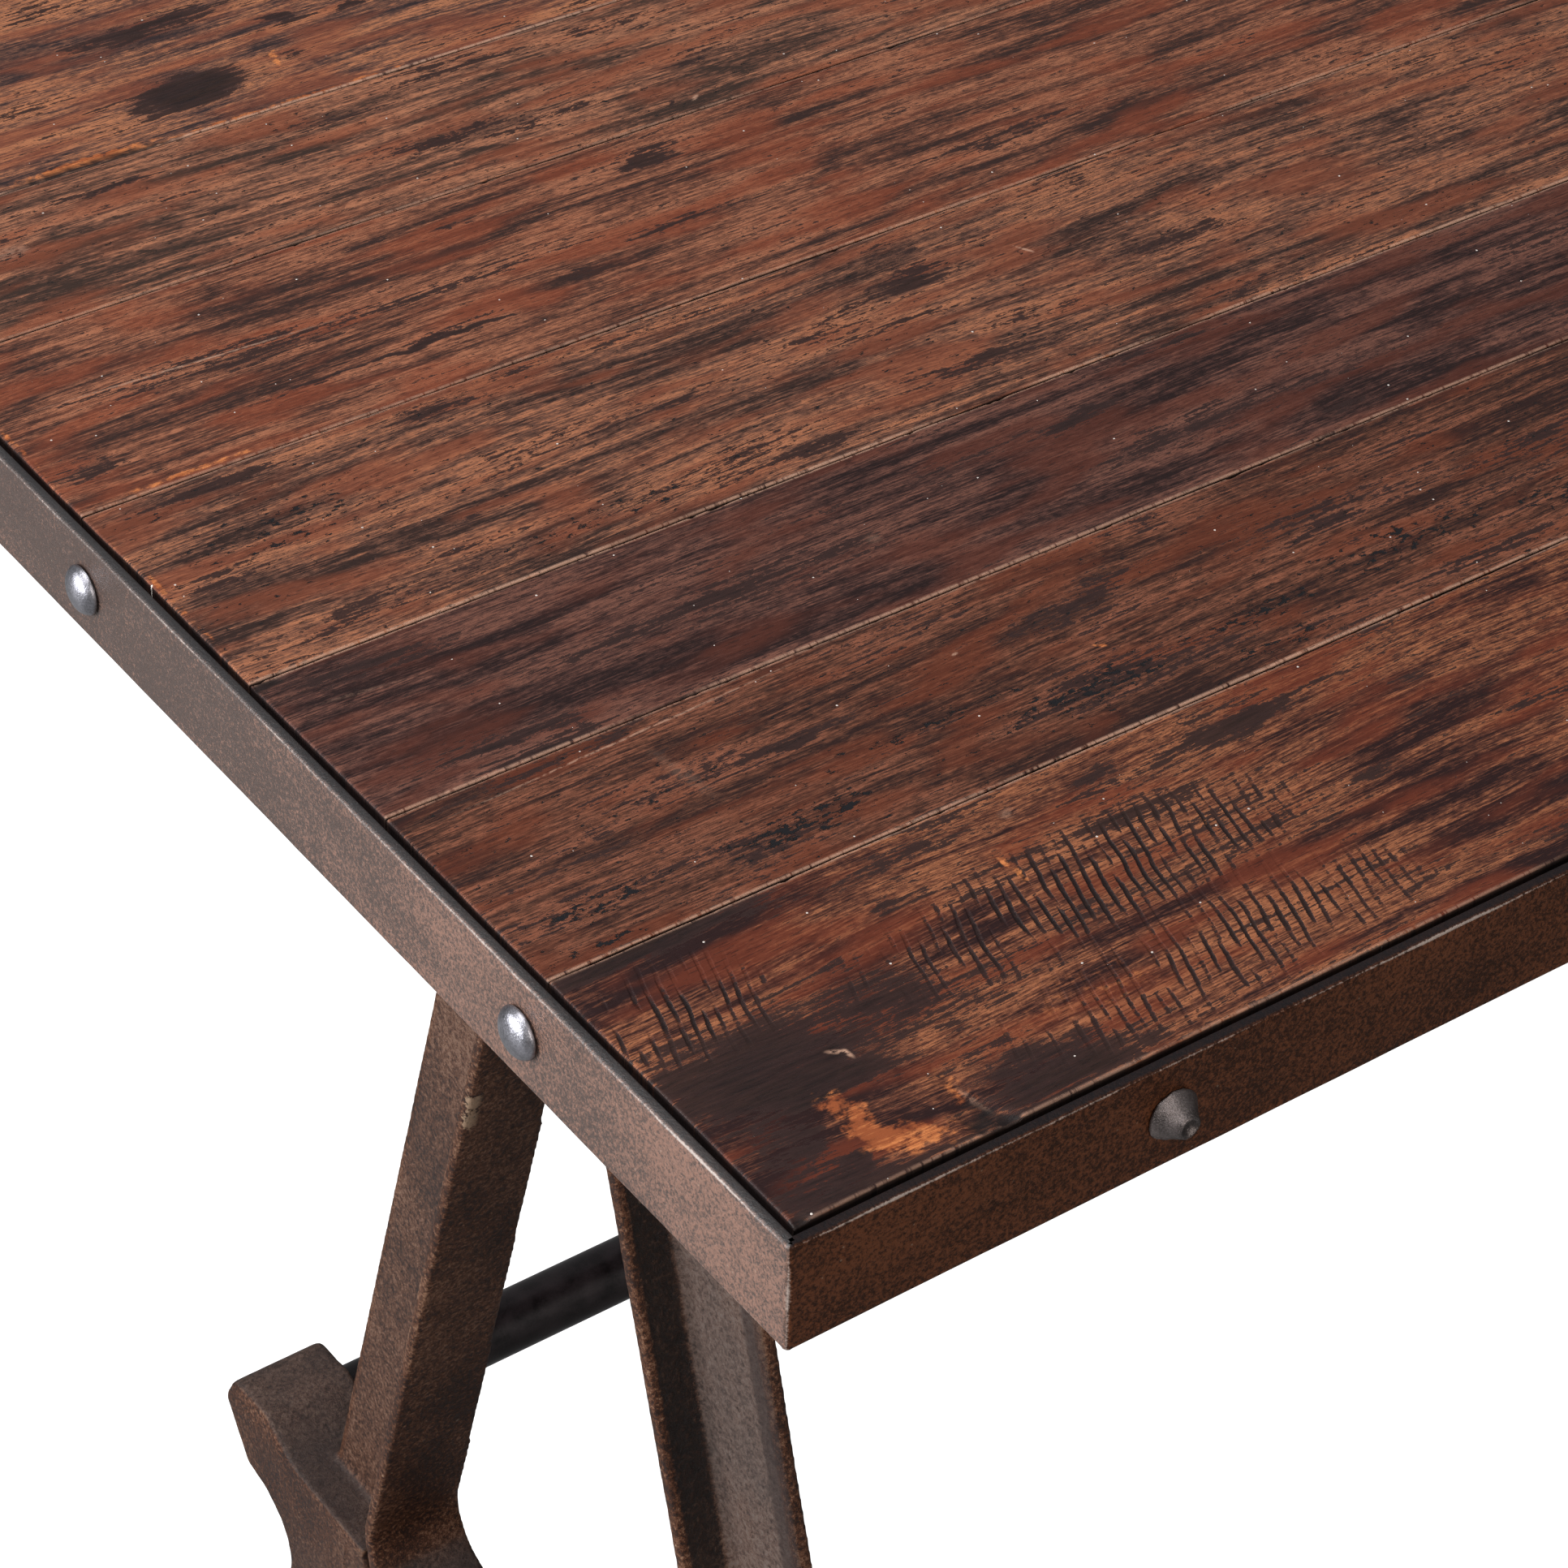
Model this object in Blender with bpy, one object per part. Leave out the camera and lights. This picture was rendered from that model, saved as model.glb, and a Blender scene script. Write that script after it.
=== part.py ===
"""Sewing table: plank top in a riveted angle-iron band, two cast-iron A-frames, two round stretchers.

Units are metres, +Z is up. The origin is on the floor under the middle of the top, +X runs along
the table's length and +Y across its width. Each separate piece of the table is one named object.
"""
import math

import bmesh
import bpy
from mathutils import Matrix, Vector

# ---------------------------------------------------------------- driving dimensions
LENGTH = 1.220
WIDTH = 0.596
HEIGHT = 0.760
GAP = 0.0003                    # clearance between pieces that touch

# angle-iron band round the top
ANGLE_LEG = 0.030
ANGLE_THICK = 0.003
BAND_DROP = 0.0005              # the band's top edge lies this far under the boards' faces

# boards of the top, by the seams between them, measured from the -Y side
BOARD_SEAMS = (0.0960, 0.1635, 0.2240, 0.3065, 0.3885, 0.4545, 0.5560)
BOARD_EDGE_GAP = 0.0015         # dark gap between the boards and the band
SEAM_GAP = 0.0008
BOARD_ARRIS = 0.0007

# rivets
RIVET_DROP = 0.0152             # rivet axis below the boards' faces
RIVET_SHANK_R = 0.0025
RIVET_SHANK_LENGTH = 0.0160
RIVET_HEAD_R = 0.0066
DOME_HEIGHT = 0.0042
CONE_HEIGHT = 0.0062
CONE_TIP_R = 0.0028
CONE_DIMPLE = 0.0012
RIVET_SIDES = 16
END_RIVET_SPACING = 0.1980
END_RIVETS = 3
SIDE_RIVET_INSET = 0.1015
SIDE_RIVETS = 6

# cast end frames; depths are measured down from the boards' faces
FRAME_INSET = 0.1310            # table end to the outer face of the casting
FLANGE_WIDTH = 0.0380           # along X, at and below the crossbar
FLANGE_TAPER = 0.0200           # the casting narrows by this much per metre above the crossbar
FLANGE_THICK = 0.0052
WEB_FACE = 0.0165               # outer face of the casting to the web
WEB_THICK = 0.0060
LOWER_WEB_FACE = 0.0060         # the lower legs have a thicker web
LOWER_WEB_THICK = 0.0240
LEG_SLOPE = 0.285               # sideways run of a leg per metre of drop
LEG_INNER_DY = 0.0385           # half gap between the legs at LEG_DEPTH
LEG_DEPTH = 0.2755
LEG_WIDTH = 0.0480              # measured level
APEX_DEPTH = 0.2050
LEDGE_DEPTH = 0.5620            # top of the crossbar outside the legs
OPENING_DEPTH = 0.5750          # and between them
COVE_CENTRE = (0.2037, 0.6160)  # (distance from the centre line, depth)
COVE_R = 0.0264
ARCH_DEPTH = 0.6220
ARCH_R = 0.034
OPENING_R = 0.022
FOOT_THICK = 0.010
FOOT_INNER_DY = 0.163
FOOT_OUTER_DY = 0.232
FOOT_OVERHANG = 0.006

# top arms of the casting
ARM_LENGTH = 0.228
ARM_PLATE_THICK = 0.0070
ARM_PLATE_WIDTH = 0.0380
ARM_END_DROP = 0.0120
ARM_ROOT_DROP = 0.0260
ARM_FILLET_R = 0.050
ARM_SCREW_DY = (-0.175, -0.105, 0.105, 0.175)

# stretchers and their pins
ROD_R = 0.0120
ROD_DY = 0.2000
ROD_DEPTH = 0.5745
ROD_SOCKET = 0.0160
PIN_R = 0.0025
PIN_LENGTH = 0.0220
ROUND_SIDES = 28

# screws and the middle cleat
SCREW_R = 0.0030
SCREW_LENGTH = 0.0240
SCREW_HEAD_R = 0.0065
SCREW_HEAD_HEIGHT = 0.0040
SCREW_SIDES = 12
CLEAT_WIDTH = 0.070
CLEAT_THICK = 0.022
CLEAT_SCREW_DY = (-0.240, -0.100, 0.100, 0.240)
CLEAT_SCREW_LENGTH = 0.0420

# sizes that follow from these
BAND_TOP = HEIGHT - BAND_DROP
BAND_BOTTOM = BAND_TOP - ANGLE_LEG
BOARD_BOTTOM = BAND_BOTTOM + ANGLE_THICK + GAP
HALF_LENGTH = LENGTH / 2.0
HALF_WIDTH = WIDTH / 2.0
FRAME_X = HALF_LENGTH - FRAME_INSET
FRAME_TOP = BAND_BOTTOM - GAP
CLEAT_TOP = BOARD_BOTTOM - GAP

# name: (colour, roughness, metallic)
FINISHES = {
    "board_wood": ((0.105, 0.035, 0.018), 0.45, 0.0),
    "cleat_wood": ((0.120, 0.060, 0.030), 0.70, 0.0),
    "band_steel": ((0.085, 0.060, 0.048), 0.48, 0.9),
    "rivet_steel": ((0.100, 0.095, 0.098), 0.35, 1.0),
    "frame_iron": ((0.075, 0.052, 0.042), 0.60, 0.8),
    "rod_steel": ((0.030, 0.026, 0.026), 0.35, 0.9),
    "screw_steel": ((0.160, 0.150, 0.145), 0.45, 1.0),
}


# ---------------------------------------------------------------- scene and mesh helpers
def clear_scene():
    for item in list(bpy.data.objects):
        bpy.data.objects.remove(item, do_unlink=True)


def make_material(name):
    colour, roughness, metallic = FINISHES[name]
    material = bpy.data.materials.new(name)
    material.use_nodes = True
    shader = material.node_tree.nodes["Principled BSDF"]
    shader.inputs["Base Color"].default_value = (*colour, 1.0)
    shader.inputs["Roughness"].default_value = roughness
    shader.inputs["Metallic"].default_value = metallic
    return material


def add_object(name, mesh, material_name, location=(0.0, 0.0, 0.0), rotation=(0.0, 0.0, 0.0)):
    """Put a mesh in the scene as one piece with its own material."""
    if not mesh.materials:
        mesh.materials.append(bpy.data.materials.get(material_name) or make_material(material_name))
    piece = bpy.data.objects.new(name, mesh)
    piece.location = location
    piece.rotation_euler = rotation
    bpy.context.scene.collection.objects.link(piece)
    return piece


def mesh_from(bm, name, smooth_angle=None):
    """Turn a bmesh into a mesh with outward faces; round pieces are shaded smooth."""
    bmesh.ops.recalc_face_normals(bm, faces=bm.faces)
    mesh = bpy.data.meshes.new(name)
    bm.to_mesh(mesh)
    bm.free()
    if smooth_angle is not None:
        mesh.shade_smooth()
        mesh.set_sharp_from_angle(angle=smooth_angle)
    return mesh


def prism(outline, low, high, place):
    """Solid between two copies of an outline; place(u, v, w) gives the point at height w."""
    bm = bmesh.new()
    ends = []
    for w in (low, high):
        ends.append([bm.verts.new(place(u, v, w)) for u, v in outline])
    bm.faces.new(ends[0])
    bm.faces.new(list(reversed(ends[1])))
    count = len(outline)
    for i in range(count):
        j = (i + 1) % count
        bm.faces.new((ends[0][i], ends[1][i], ends[1][j], ends[0][j]))
    bmesh.ops.recalc_face_normals(bm, faces=bm.faces)
    return bm


def along_x(u, v, w):
    return (w, u, v)


def along_z(u, v, w):
    return (u, v, w)


def box(low, high):
    outline = ((low[0], low[1]), (high[0], low[1]), (high[0], high[1]), (low[0], high[1]))
    return prism(outline, low[2], high[2], along_z)


def lathe(profile, sides):
    """Solid of revolution about +Z; the profile runs from the axis at the bottom to the axis at the top."""
    bm = bmesh.new()
    rings = []
    for radius, z in profile:
        if radius == 0.0:
            rings.append([bm.verts.new((0.0, 0.0, z))])
            continue
        ring = []
        for i in range(sides):
            angle = 2.0 * math.pi * i / sides
            ring.append(bm.verts.new((radius * math.cos(angle), radius * math.sin(angle), z)))
        rings.append(ring)
    for lower, upper in zip(rings, rings[1:]):
        for i in range(sides):
            j = (i + 1) % sides
            if len(lower) == 1:
                bm.faces.new((lower[0], upper[i], upper[j]))
            elif len(upper) == 1:
                bm.faces.new((lower[i], lower[j], upper[0]))
            else:
                bm.faces.new((lower[i], lower[j], upper[j], upper[i]))
    return bm


def cylinder(radius, low, high, sides):
    return lathe(((0.0, low), (radius, low), (radius, high), (0.0, high)), sides)


def turned(bm, matrix):
    bmesh.ops.transform(bm, matrix=matrix, verts=bm.verts)
    return bm


def combine(mesh, tools, operation):
    """Union or difference of a mesh with a list of bmesh tools, applied; the tools are used up."""
    base = bpy.data.objects.new("combine_base", mesh)
    bpy.context.scene.collection.objects.link(base)
    helpers = []
    for index, bm in enumerate(tools):
        tool_mesh = mesh_from(bm, f"combine_tool_{index}")
        helper = bpy.data.objects.new(f"combine_tool_{index}", tool_mesh)
        helper.hide_render = True
        helper.display_type = "WIRE"
        bpy.context.scene.collection.objects.link(helper)
        helpers.append(helper)
        modifier = base.modifiers.new(f"combine_{index}", "BOOLEAN")
        modifier.operation = operation
        modifier.solver = "EXACT"
        modifier.object = helper
    graph = bpy.context.evaluated_depsgraph_get()
    result = bpy.data.meshes.new_from_object(base.evaluated_get(graph))
    result.name = mesh.name + "_combined"
    for item in [base] + helpers:
        bpy.data.objects.remove(item, do_unlink=True)
    return result


# ---------------------------------------------------------------- outlines
def rounded(points, steps=5):
    """Polyline through (u, v, radius) points with each corner turned on an arc of its radius."""
    path = []
    count = len(points)
    for i, (u, v, radius) in enumerate(points):
        here = Vector((u, v))
        if radius == 0.0:
            path.append((u, v))
            continue
        back = (Vector(points[i - 1][:2]) - here).normalized()
        ahead = (Vector(points[(i + 1) % count][:2]) - here).normalized()
        half = back.angle(ahead) / 2.0
        reach = radius / math.tan(half)
        centre = here + (back + ahead).normalized() * (radius / math.sin(half))
        start = here + back * reach - centre
        end = here + ahead * reach - centre
        sweep = math.atan2(start.x * end.y - start.y * end.x, start.dot(end))
        for k in range(steps + 1):
            point = centre + Matrix.Rotation(sweep * k / steps, 2) @ start
            path.append((point.x, point.y))
    return path


def offset_path(path, distance, closed):
    """The path moved sideways, to its left for a positive distance, with mitred corners."""
    moved = []
    count = len(path)
    for i in range(count):
        here = Vector(path[i])
        before = Vector(path[i - 1]) if closed or i > 0 else None
        after = Vector(path[(i + 1) % count]) if closed or i < count - 1 else None
        normals = []
        for a, b in ((before, here), (here, after)):
            if a is not None and b is not None:
                run = (b - a).normalized()
                normals.append(Vector((-run.y, run.x)))
        mean = sum(normals, Vector((0.0, 0.0))).normalized()
        point = here + mean * (distance / mean.dot(normals[0]))
        moved.append((point.x, point.y))
    return moved


def rim(path, thickness, width, closed=False):
    """Flange that follows a path in the YZ plane; its thickness lies on the path's left."""
    other = offset_path(path, thickness, closed)
    if not closed:
        return prism(list(path) + list(reversed(other)), 0.0, width, along_x)
    bm = bmesh.new()
    loops = []
    for x, line in ((0.0, path), (width, path), (width, other), (0.0, other)):
        loops.append([bm.verts.new((x, u, v)) for u, v in line])
    count = len(path)
    for a, b in zip(loops, loops[1:] + loops[:1]):
        for i in range(count):
            j = (i + 1) % count
            bm.faces.new((a[i], b[i], b[j], a[j]))
    bmesh.ops.recalc_face_normals(bm, faces=bm.faces)
    return bm


def mirrored(path):
    return [(-u, v) for u, v in reversed(path)]


def leg_inner(depth):
    return LEG_INNER_DY + LEG_SLOPE * (depth - LEG_DEPTH)


def leg_outer(depth):
    return leg_inner(depth) + LEG_WIDTH


def depth_points(points):
    """(distance from centre, depth, radius) points as (y, z, radius)."""
    return [(u, HEIGHT - d, r) for u, d, r in points]


# ---------------------------------------------------------------- cast end frame
def cove_path(first_angle, last_angle, steps=9):
    """Hollow under a lug, as points from its top round to the lower leg."""
    path = []
    for k in range(steps + 1):
        angle = first_angle + (last_angle - first_angle) * k / steps
        u = COVE_CENTRE[0] + COVE_R * math.cos(angle)
        z = HEIGHT - COVE_CENTRE[1] + COVE_R * math.sin(angle)
        path.append((u, z))
    return path


def lower_leg_outer():
    """The cove, then the straight outer edge of the lower leg down to its foot."""
    turn = math.pi + math.atan(LEG_SLOPE)
    path = cove_path(math.radians(98.0), turn)
    u, z = path[-1]
    drop = z - FOOT_THICK / 2.0
    path.append((u + LEG_SLOPE * drop, FOOT_THICK / 2.0))
    return path


def arch_path():
    """Inner edge of the lower legs and the arch under the crossbar, from the +Y foot to the -Y foot."""
    foot_depth = HEIGHT - FOOT_THICK / 2.0
    half = ((leg_inner(foot_depth), foot_depth, 0.0), (leg_inner(ARCH_DEPTH), ARCH_DEPTH, ARCH_R))
    other = tuple((-u, d, r) for u, d, r in reversed(half))
    return rounded(depth_points(half + other), steps=6)


def opening_path():
    """The rounded triangle between the legs, anticlockwise seen from +X."""
    bottom = OPENING_DEPTH
    corners = (
        (-leg_inner(bottom), bottom, OPENING_R),
        (leg_inner(bottom), bottom, OPENING_R),
        (leg_inner(APEX_DEPTH), APEX_DEPTH, 0.010),
        (-leg_inner(APEX_DEPTH), APEX_DEPTH, 0.010),
    )
    return rounded(depth_points(corners), steps=6)


def web_outline():
    """Outline of the whole web plate, from the top arm on +Y round to the one on -Y."""
    top = HEIGHT - (FRAME_TOP - ARM_PLATE_THICK / 2.0)
    arm_end = top + ARM_END_DROP
    arm_root = top + ARM_ROOT_DROP
    root_dy = leg_outer(arm_root)
    inside = FLANGE_THICK / 2.0
    upper = rounded(
        depth_points((
            (ARM_LENGTH - 0.004, top, 0.0),
            (ARM_LENGTH - 0.004, arm_end, 0.0),
            (root_dy, arm_root, ARM_FILLET_R),
            (leg_outer(LEDGE_DEPTH), LEDGE_DEPTH, 0.0),
        )),
        steps=6,
    )
    crossbar = [(0.190, HEIGHT - LEDGE_DEPTH - inside)]
    lower = offset_path(lower_leg_outer(), -inside, False)
    arch = offset_path(arch_path(), -inside, False)
    half = upper + crossbar + lower
    return half + arch + mirrored(half)


def ledge_outline(side):
    """Flat top flange of the crossbar, from the leg's inner flange out to the lug."""
    top = HEIGHT - LEDGE_DEPTH
    inner = leg_inner(LEDGE_DEPTH) + FLANGE_THICK / 2.0
    outer = 0.178
    return ((side * inner, top), (side * inner, top - FLANGE_THICK),
            (side * outer, top - FLANGE_THICK), (side * outer, top))


def lower_leg_outline(side):
    """Thick web of the lower leg, between the cove's rim and the arch's rim."""
    inside = FLANGE_THICK * 0.7
    outer = offset_path(lower_leg_outer(), -inside, False)
    arch = offset_path(arch_path(), -inside, False)
    inner = [(u, v) for u, v in arch if u > leg_inner(ARCH_DEPTH) - ARCH_R]
    points = outer[3:] + inner + [(leg_inner(LEDGE_DEPTH) + inside, HEIGHT - LEDGE_DEPTH - inside)]
    return [(side * u, v) for u, v in points]


def lug_outline(side):
    """Upturned rounded end of the crossbar."""
    points = depth_points((
        (0.160, 0.5625, 0.0),
        (0.1750, 0.5615, 0.010),
        (0.1920, 0.5515, 0.010),
        (0.2140, 0.5530, 0.007),
        (0.2200, 0.5650, 0.006),
        (0.2060, 0.5900, 0.004),
        (0.1930, 0.5925, 0.0),
        (0.1830, 0.6000, 0.0),
        (0.1740, 0.5850, 0.0),
        (0.1600, 0.5700, 0.0),
    ))
    return [(side * u, v) for u, v in rounded(points, steps=4)]


def foot_outline(side):
    """Foot plate seen from above, as (x, y)."""
    low_x = -FOOT_OVERHANG
    high_x = FLANGE_WIDTH + FOOT_OVERHANG
    corner = 0.010
    points = (
        (low_x, side * FOOT_INNER_DY, corner),
        (high_x, side * FOOT_INNER_DY, corner),
        (high_x, side * FOOT_OUTER_DY, corner),
        (low_x, side * FOOT_OUTER_DY, corner),
    )
    return rounded(points, steps=4)


def narrow_towards_top(mesh):
    """Moulding draft: the casting gets narrower along X above the crossbar."""
    ledge_z = HEIGHT - LEDGE_DEPTH
    web_back = WEB_FACE + WEB_THICK
    full = FLANGE_WIDTH - web_back
    for vertex in mesh.vertices:
        rise = max(0.0, vertex.co.z - ledge_z)
        beyond_web = vertex.co.x - web_back
        if beyond_web > 0.0:
            vertex.co.x = web_back + beyond_web * (full - FLANGE_TAPER * rise) / full


def end_frame_mesh():
    """One casting, its outer face on x = 0 and its inner side towards +X."""
    web = prism(web_outline(), WEB_FACE, WEB_FACE + WEB_THICK, along_x)
    mesh = mesh_from(web, "end_frame")
    inside = offset_path(opening_path(), -FLANGE_THICK / 2.0, True)
    window = prism(inside, WEB_FACE - 0.01, WEB_FACE + WEB_THICK + 0.01, along_x)
    mesh = combine(mesh, [window], "DIFFERENCE")
    outer_rim = lower_leg_outer()
    flanges = [
        rim(opening_path(), -FLANGE_THICK, FLANGE_WIDTH, closed=True),
        rim(arch_path(), -FLANGE_THICK, FLANGE_WIDTH),
        rim(outer_rim, -FLANGE_THICK, FLANGE_WIDTH),
        rim(mirrored(outer_rim), -FLANGE_THICK, FLANGE_WIDTH),
    ]
    for side in (-1.0, 1.0):
        flanges.append(prism(ledge_outline(side), 0.0, FLANGE_WIDTH, along_x))
        flanges.append(prism(lower_leg_outline(side), LOWER_WEB_FACE, LOWER_WEB_FACE + LOWER_WEB_THICK, along_x))
        flanges.append(prism(lug_outline(side), 0.0, FLANGE_WIDTH, along_x))
        flanges.append(prism(foot_outline(side), 0.0, FOOT_THICK, along_z))
    mesh = combine(mesh, flanges, "UNION")
    narrow_towards_top(mesh)
    plate = box((0.0, -ARM_LENGTH, FRAME_TOP - ARM_PLATE_THICK), (ARM_PLATE_WIDTH, ARM_LENGTH, FRAME_TOP))
    mesh = combine(mesh, [plate], "UNION")
    holes = []
    for dy in ARM_SCREW_DY:
        hole = cylinder(SCREW_R + GAP, FRAME_TOP - 0.02, FRAME_TOP + 0.01, SCREW_SIDES)
        holes.append(turned(hole, Matrix.Translation((arm_screw_x(), dy, 0.0))))
    for side in (-1.0, 1.0):
        socket = cylinder(ROD_R + GAP, FLANGE_WIDTH - ROD_SOCKET, FLANGE_WIDTH + 0.01, ROUND_SIDES)
        place = Matrix.Translation((0.0, side * ROD_DY, HEIGHT - ROD_DEPTH))
        holes.append(turned(socket, place @ Matrix.Rotation(math.pi / 2.0, 4, "Y")))
        pin_hole = cylinder(PIN_R + GAP, pin_bottom() - 0.02, HEIGHT - ROD_DEPTH, SCREW_SIDES)
        holes.append(turned(pin_hole, Matrix.Translation((pin_x(), side * ROD_DY, 0.0))))
    return combine(mesh, holes, "DIFFERENCE")


def arm_screw_x():
    """Screws pass through the plate beside the web, on its inner side."""
    return WEB_FACE + WEB_THICK + SCREW_HEAD_R + 2.0 * GAP


def pin_x():
    return FLANGE_WIDTH - ROD_SOCKET / 2.0


def pin_bottom():
    """Underside of the lug where the pin goes in."""
    return HEIGHT - 0.5900


def build_end_frames():
    mesh = end_frame_mesh()
    add_object("end_frame_left", mesh, "frame_iron", location=(-FRAME_X, 0.0, 0.0))
    add_object("end_frame_right", mesh, "frame_iron", location=(FRAME_X, 0.0, 0.0), rotation=(0.0, 0.0, math.pi))


# ---------------------------------------------------------------- stretchers, pins and screws
def build_stretchers():
    reach = FRAME_X - FLANGE_WIDTH + ROD_SOCKET - GAP
    pin_reach = FRAME_X - pin_x()
    for label, side in (("front", -1.0), ("back", 1.0)):
        body = turned(cylinder(ROD_R, -reach, reach, ROUND_SIDES), Matrix.Rotation(math.pi / 2.0, 4, "Y"))
        mesh = mesh_from(body, "stretcher")
        holes = []
        for end in (-1.0, 1.0):
            hole = cylinder(PIN_R + GAP, -ROD_R - 0.01, ROD_R / 2.0, SCREW_SIDES)
            holes.append(turned(hole, Matrix.Translation((end * pin_reach, 0.0, 0.0))))
        mesh = combine(mesh, holes, "DIFFERENCE")
        mesh.shade_smooth()
        mesh.set_sharp_from_angle(angle=math.radians(40.0))
        add_object(f"stretcher_rod_{label}", mesh, "rod_steel", location=(0.0, side * ROD_DY, HEIGHT - ROD_DEPTH))
        for end_label, end in (("left", -1.0), ("right", 1.0)):
            bottom = pin_bottom() - 0.001
            pin = cylinder(PIN_R, bottom, bottom + PIN_LENGTH, SCREW_SIDES)
            mesh = mesh_from(pin, "rod_pin", math.radians(40.0))
            add_object(f"rod_pin_{label}_{end_label}", mesh, "screw_steel",
                       location=(end * pin_reach, side * ROD_DY, 0.0))


def screw_mesh(name, length):
    """Round-head screw driven upwards: the top of its shank is at z = length, its seat at z = 0."""
    profile = (
        (0.0, -SCREW_HEAD_HEIGHT),
        (SCREW_HEAD_R * 0.62, -SCREW_HEAD_HEIGHT),
        (SCREW_HEAD_R * 0.92, -SCREW_HEAD_HEIGHT * 0.55),
        (SCREW_HEAD_R, 0.0),
        (SCREW_R, 0.0),
        (SCREW_R, length - SCREW_R * 1.5),
        (0.0, length),
    )
    return mesh_from(lathe(profile, SCREW_SIDES), name, math.radians(35.0))


def frame_screw_places():
    """(name, x, y) of each screw that holds an end frame to the boards."""
    places = []
    reach = FRAME_X - arm_screw_x()
    for end_label, end in (("left", -1.0), ("right", 1.0)):
        for index, dy in enumerate(ARM_SCREW_DY, start=1):
            places.append((f"frame_screw_{end_label}_{index}", end * reach, dy))
    return places


def cleat_screw_places():
    return [(f"cleat_screw_{index}", 0.0, dy) for index, dy in enumerate(CLEAT_SCREW_DY, start=1)]


def build_screws():
    mesh = screw_mesh("frame_screw", SCREW_LENGTH)
    seat = FRAME_TOP - ARM_PLATE_THICK - GAP
    for name, x, y in frame_screw_places():
        add_object(name, mesh, "screw_steel", location=(x, y, seat))
    mesh = screw_mesh("cleat_screw", CLEAT_SCREW_LENGTH)
    seat = CLEAT_TOP - CLEAT_THICK - GAP
    for name, x, y in cleat_screw_places():
        add_object(name, mesh, "screw_steel", location=(x, y, seat))


def build_cleat():
    """Wooden cleat across the middle of the underside, which keeps the boards level."""
    reach = HALF_WIDTH - ANGLE_LEG - 0.010
    taper = 0.012
    low = CLEAT_TOP - CLEAT_THICK
    outline = ((-reach + taper, low), (reach - taper, low), (reach, low + taper),
               (reach, CLEAT_TOP), (-reach, CLEAT_TOP), (-reach, low + taper))
    mesh = mesh_from(prism(outline, -CLEAT_WIDTH / 2.0, CLEAT_WIDTH / 2.0, along_x), "cleat")
    holes = []
    for _name, x, y in cleat_screw_places():
        hole = cylinder(SCREW_R + GAP, low - 0.01, CLEAT_TOP + 0.01, SCREW_SIDES)
        holes.append(turned(hole, Matrix.Translation((x, y, 0.0))))
    add_object("underside_cleat", combine(mesh, holes, "DIFFERENCE"), "cleat_wood")


# ---------------------------------------------------------------- band and rivets
def rivet_places():
    """(name, style, x, y, turn) of each rivet; turn faces its head outwards."""
    places = []
    for label, end, turn in (("left", -1.0, math.pi), ("right", 1.0, 0.0)):
        for index in range(END_RIVETS):
            y = (index - (END_RIVETS - 1) / 2.0) * END_RIVET_SPACING
            places.append((f"end_rivet_{label}_{index + 1}", "dome", end * HALF_LENGTH, y, turn))
    pitch = (LENGTH - 2.0 * SIDE_RIVET_INSET) / (SIDE_RIVETS - 1)
    for label, side, turn in (("front", -1.0, -math.pi / 2.0), ("back", 1.0, math.pi / 2.0)):
        for index in range(SIDE_RIVETS):
            x = -HALF_LENGTH + SIDE_RIVET_INSET + pitch * index
            places.append((f"side_rivet_{label}_{index + 1}", "cone", x, side * HALF_WIDTH, turn))
    return places


def rivet_mesh(style):
    """Rivet along +Z: the seat of its head is at z = GAP, its shank reaches down into the board."""
    profile = [(0.0, -RIVET_SHANK_LENGTH), (RIVET_SHANK_R, -RIVET_SHANK_LENGTH), (RIVET_SHANK_R, GAP)]
    if style == "dome":
        profile.append((RIVET_HEAD_R, GAP))
        profile.append((RIVET_HEAD_R, GAP + 0.0006))
        steps = 4
        for k in range(1, steps):
            angle = math.pi / 2.0 * k / steps
            height = GAP + 0.0006 + (DOME_HEIGHT - 0.0006) * math.sin(angle)
            profile.append((RIVET_HEAD_R * math.cos(angle), height))
        profile.append((0.0, GAP + DOME_HEIGHT))
    else:
        profile.append((RIVET_HEAD_R, GAP))
        profile.append((RIVET_HEAD_R, GAP + 0.0010))
        profile.append((CONE_TIP_R, GAP + CONE_HEIGHT))
        profile.append((CONE_TIP_R * 0.7, GAP + CONE_HEIGHT))
        profile.append((0.0, GAP + CONE_HEIGHT - CONE_DIMPLE))
    return mesh_from(lathe(profile, RIVET_SIDES), f"rivet_{style}", math.radians(35.0))


def rivet_matrix(x, y, turn):
    place = Matrix.Translation((x, y, HEIGHT - RIVET_DROP))
    return place @ Matrix.Rotation(turn, 4, "Z") @ Matrix.Rotation(math.pi / 2.0, 4, "Y")


def build_rivets():
    meshes = {style: rivet_mesh(style) for style in ("dome", "cone")}
    for name, style, x, y, turn in rivet_places():
        rotation = rivet_matrix(x, y, turn).to_euler()
        add_object(name, meshes[style], "rivet_steel", location=(x, y, HEIGHT - RIVET_DROP), rotation=rotation)


def rivet_holes(keep, low, high):
    """Cutters for the rivets whose (x, y) passes the test keep, from low to high along the rivet."""
    holes = []
    for _name, _style, x, y, turn in rivet_places():
        if keep(x, y):
            hole = cylinder(RIVET_SHANK_R + GAP, low, high, SCREW_SIDES)
            holes.append(turned(hole, rivet_matrix(x, y, turn)))
    return holes


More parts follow.
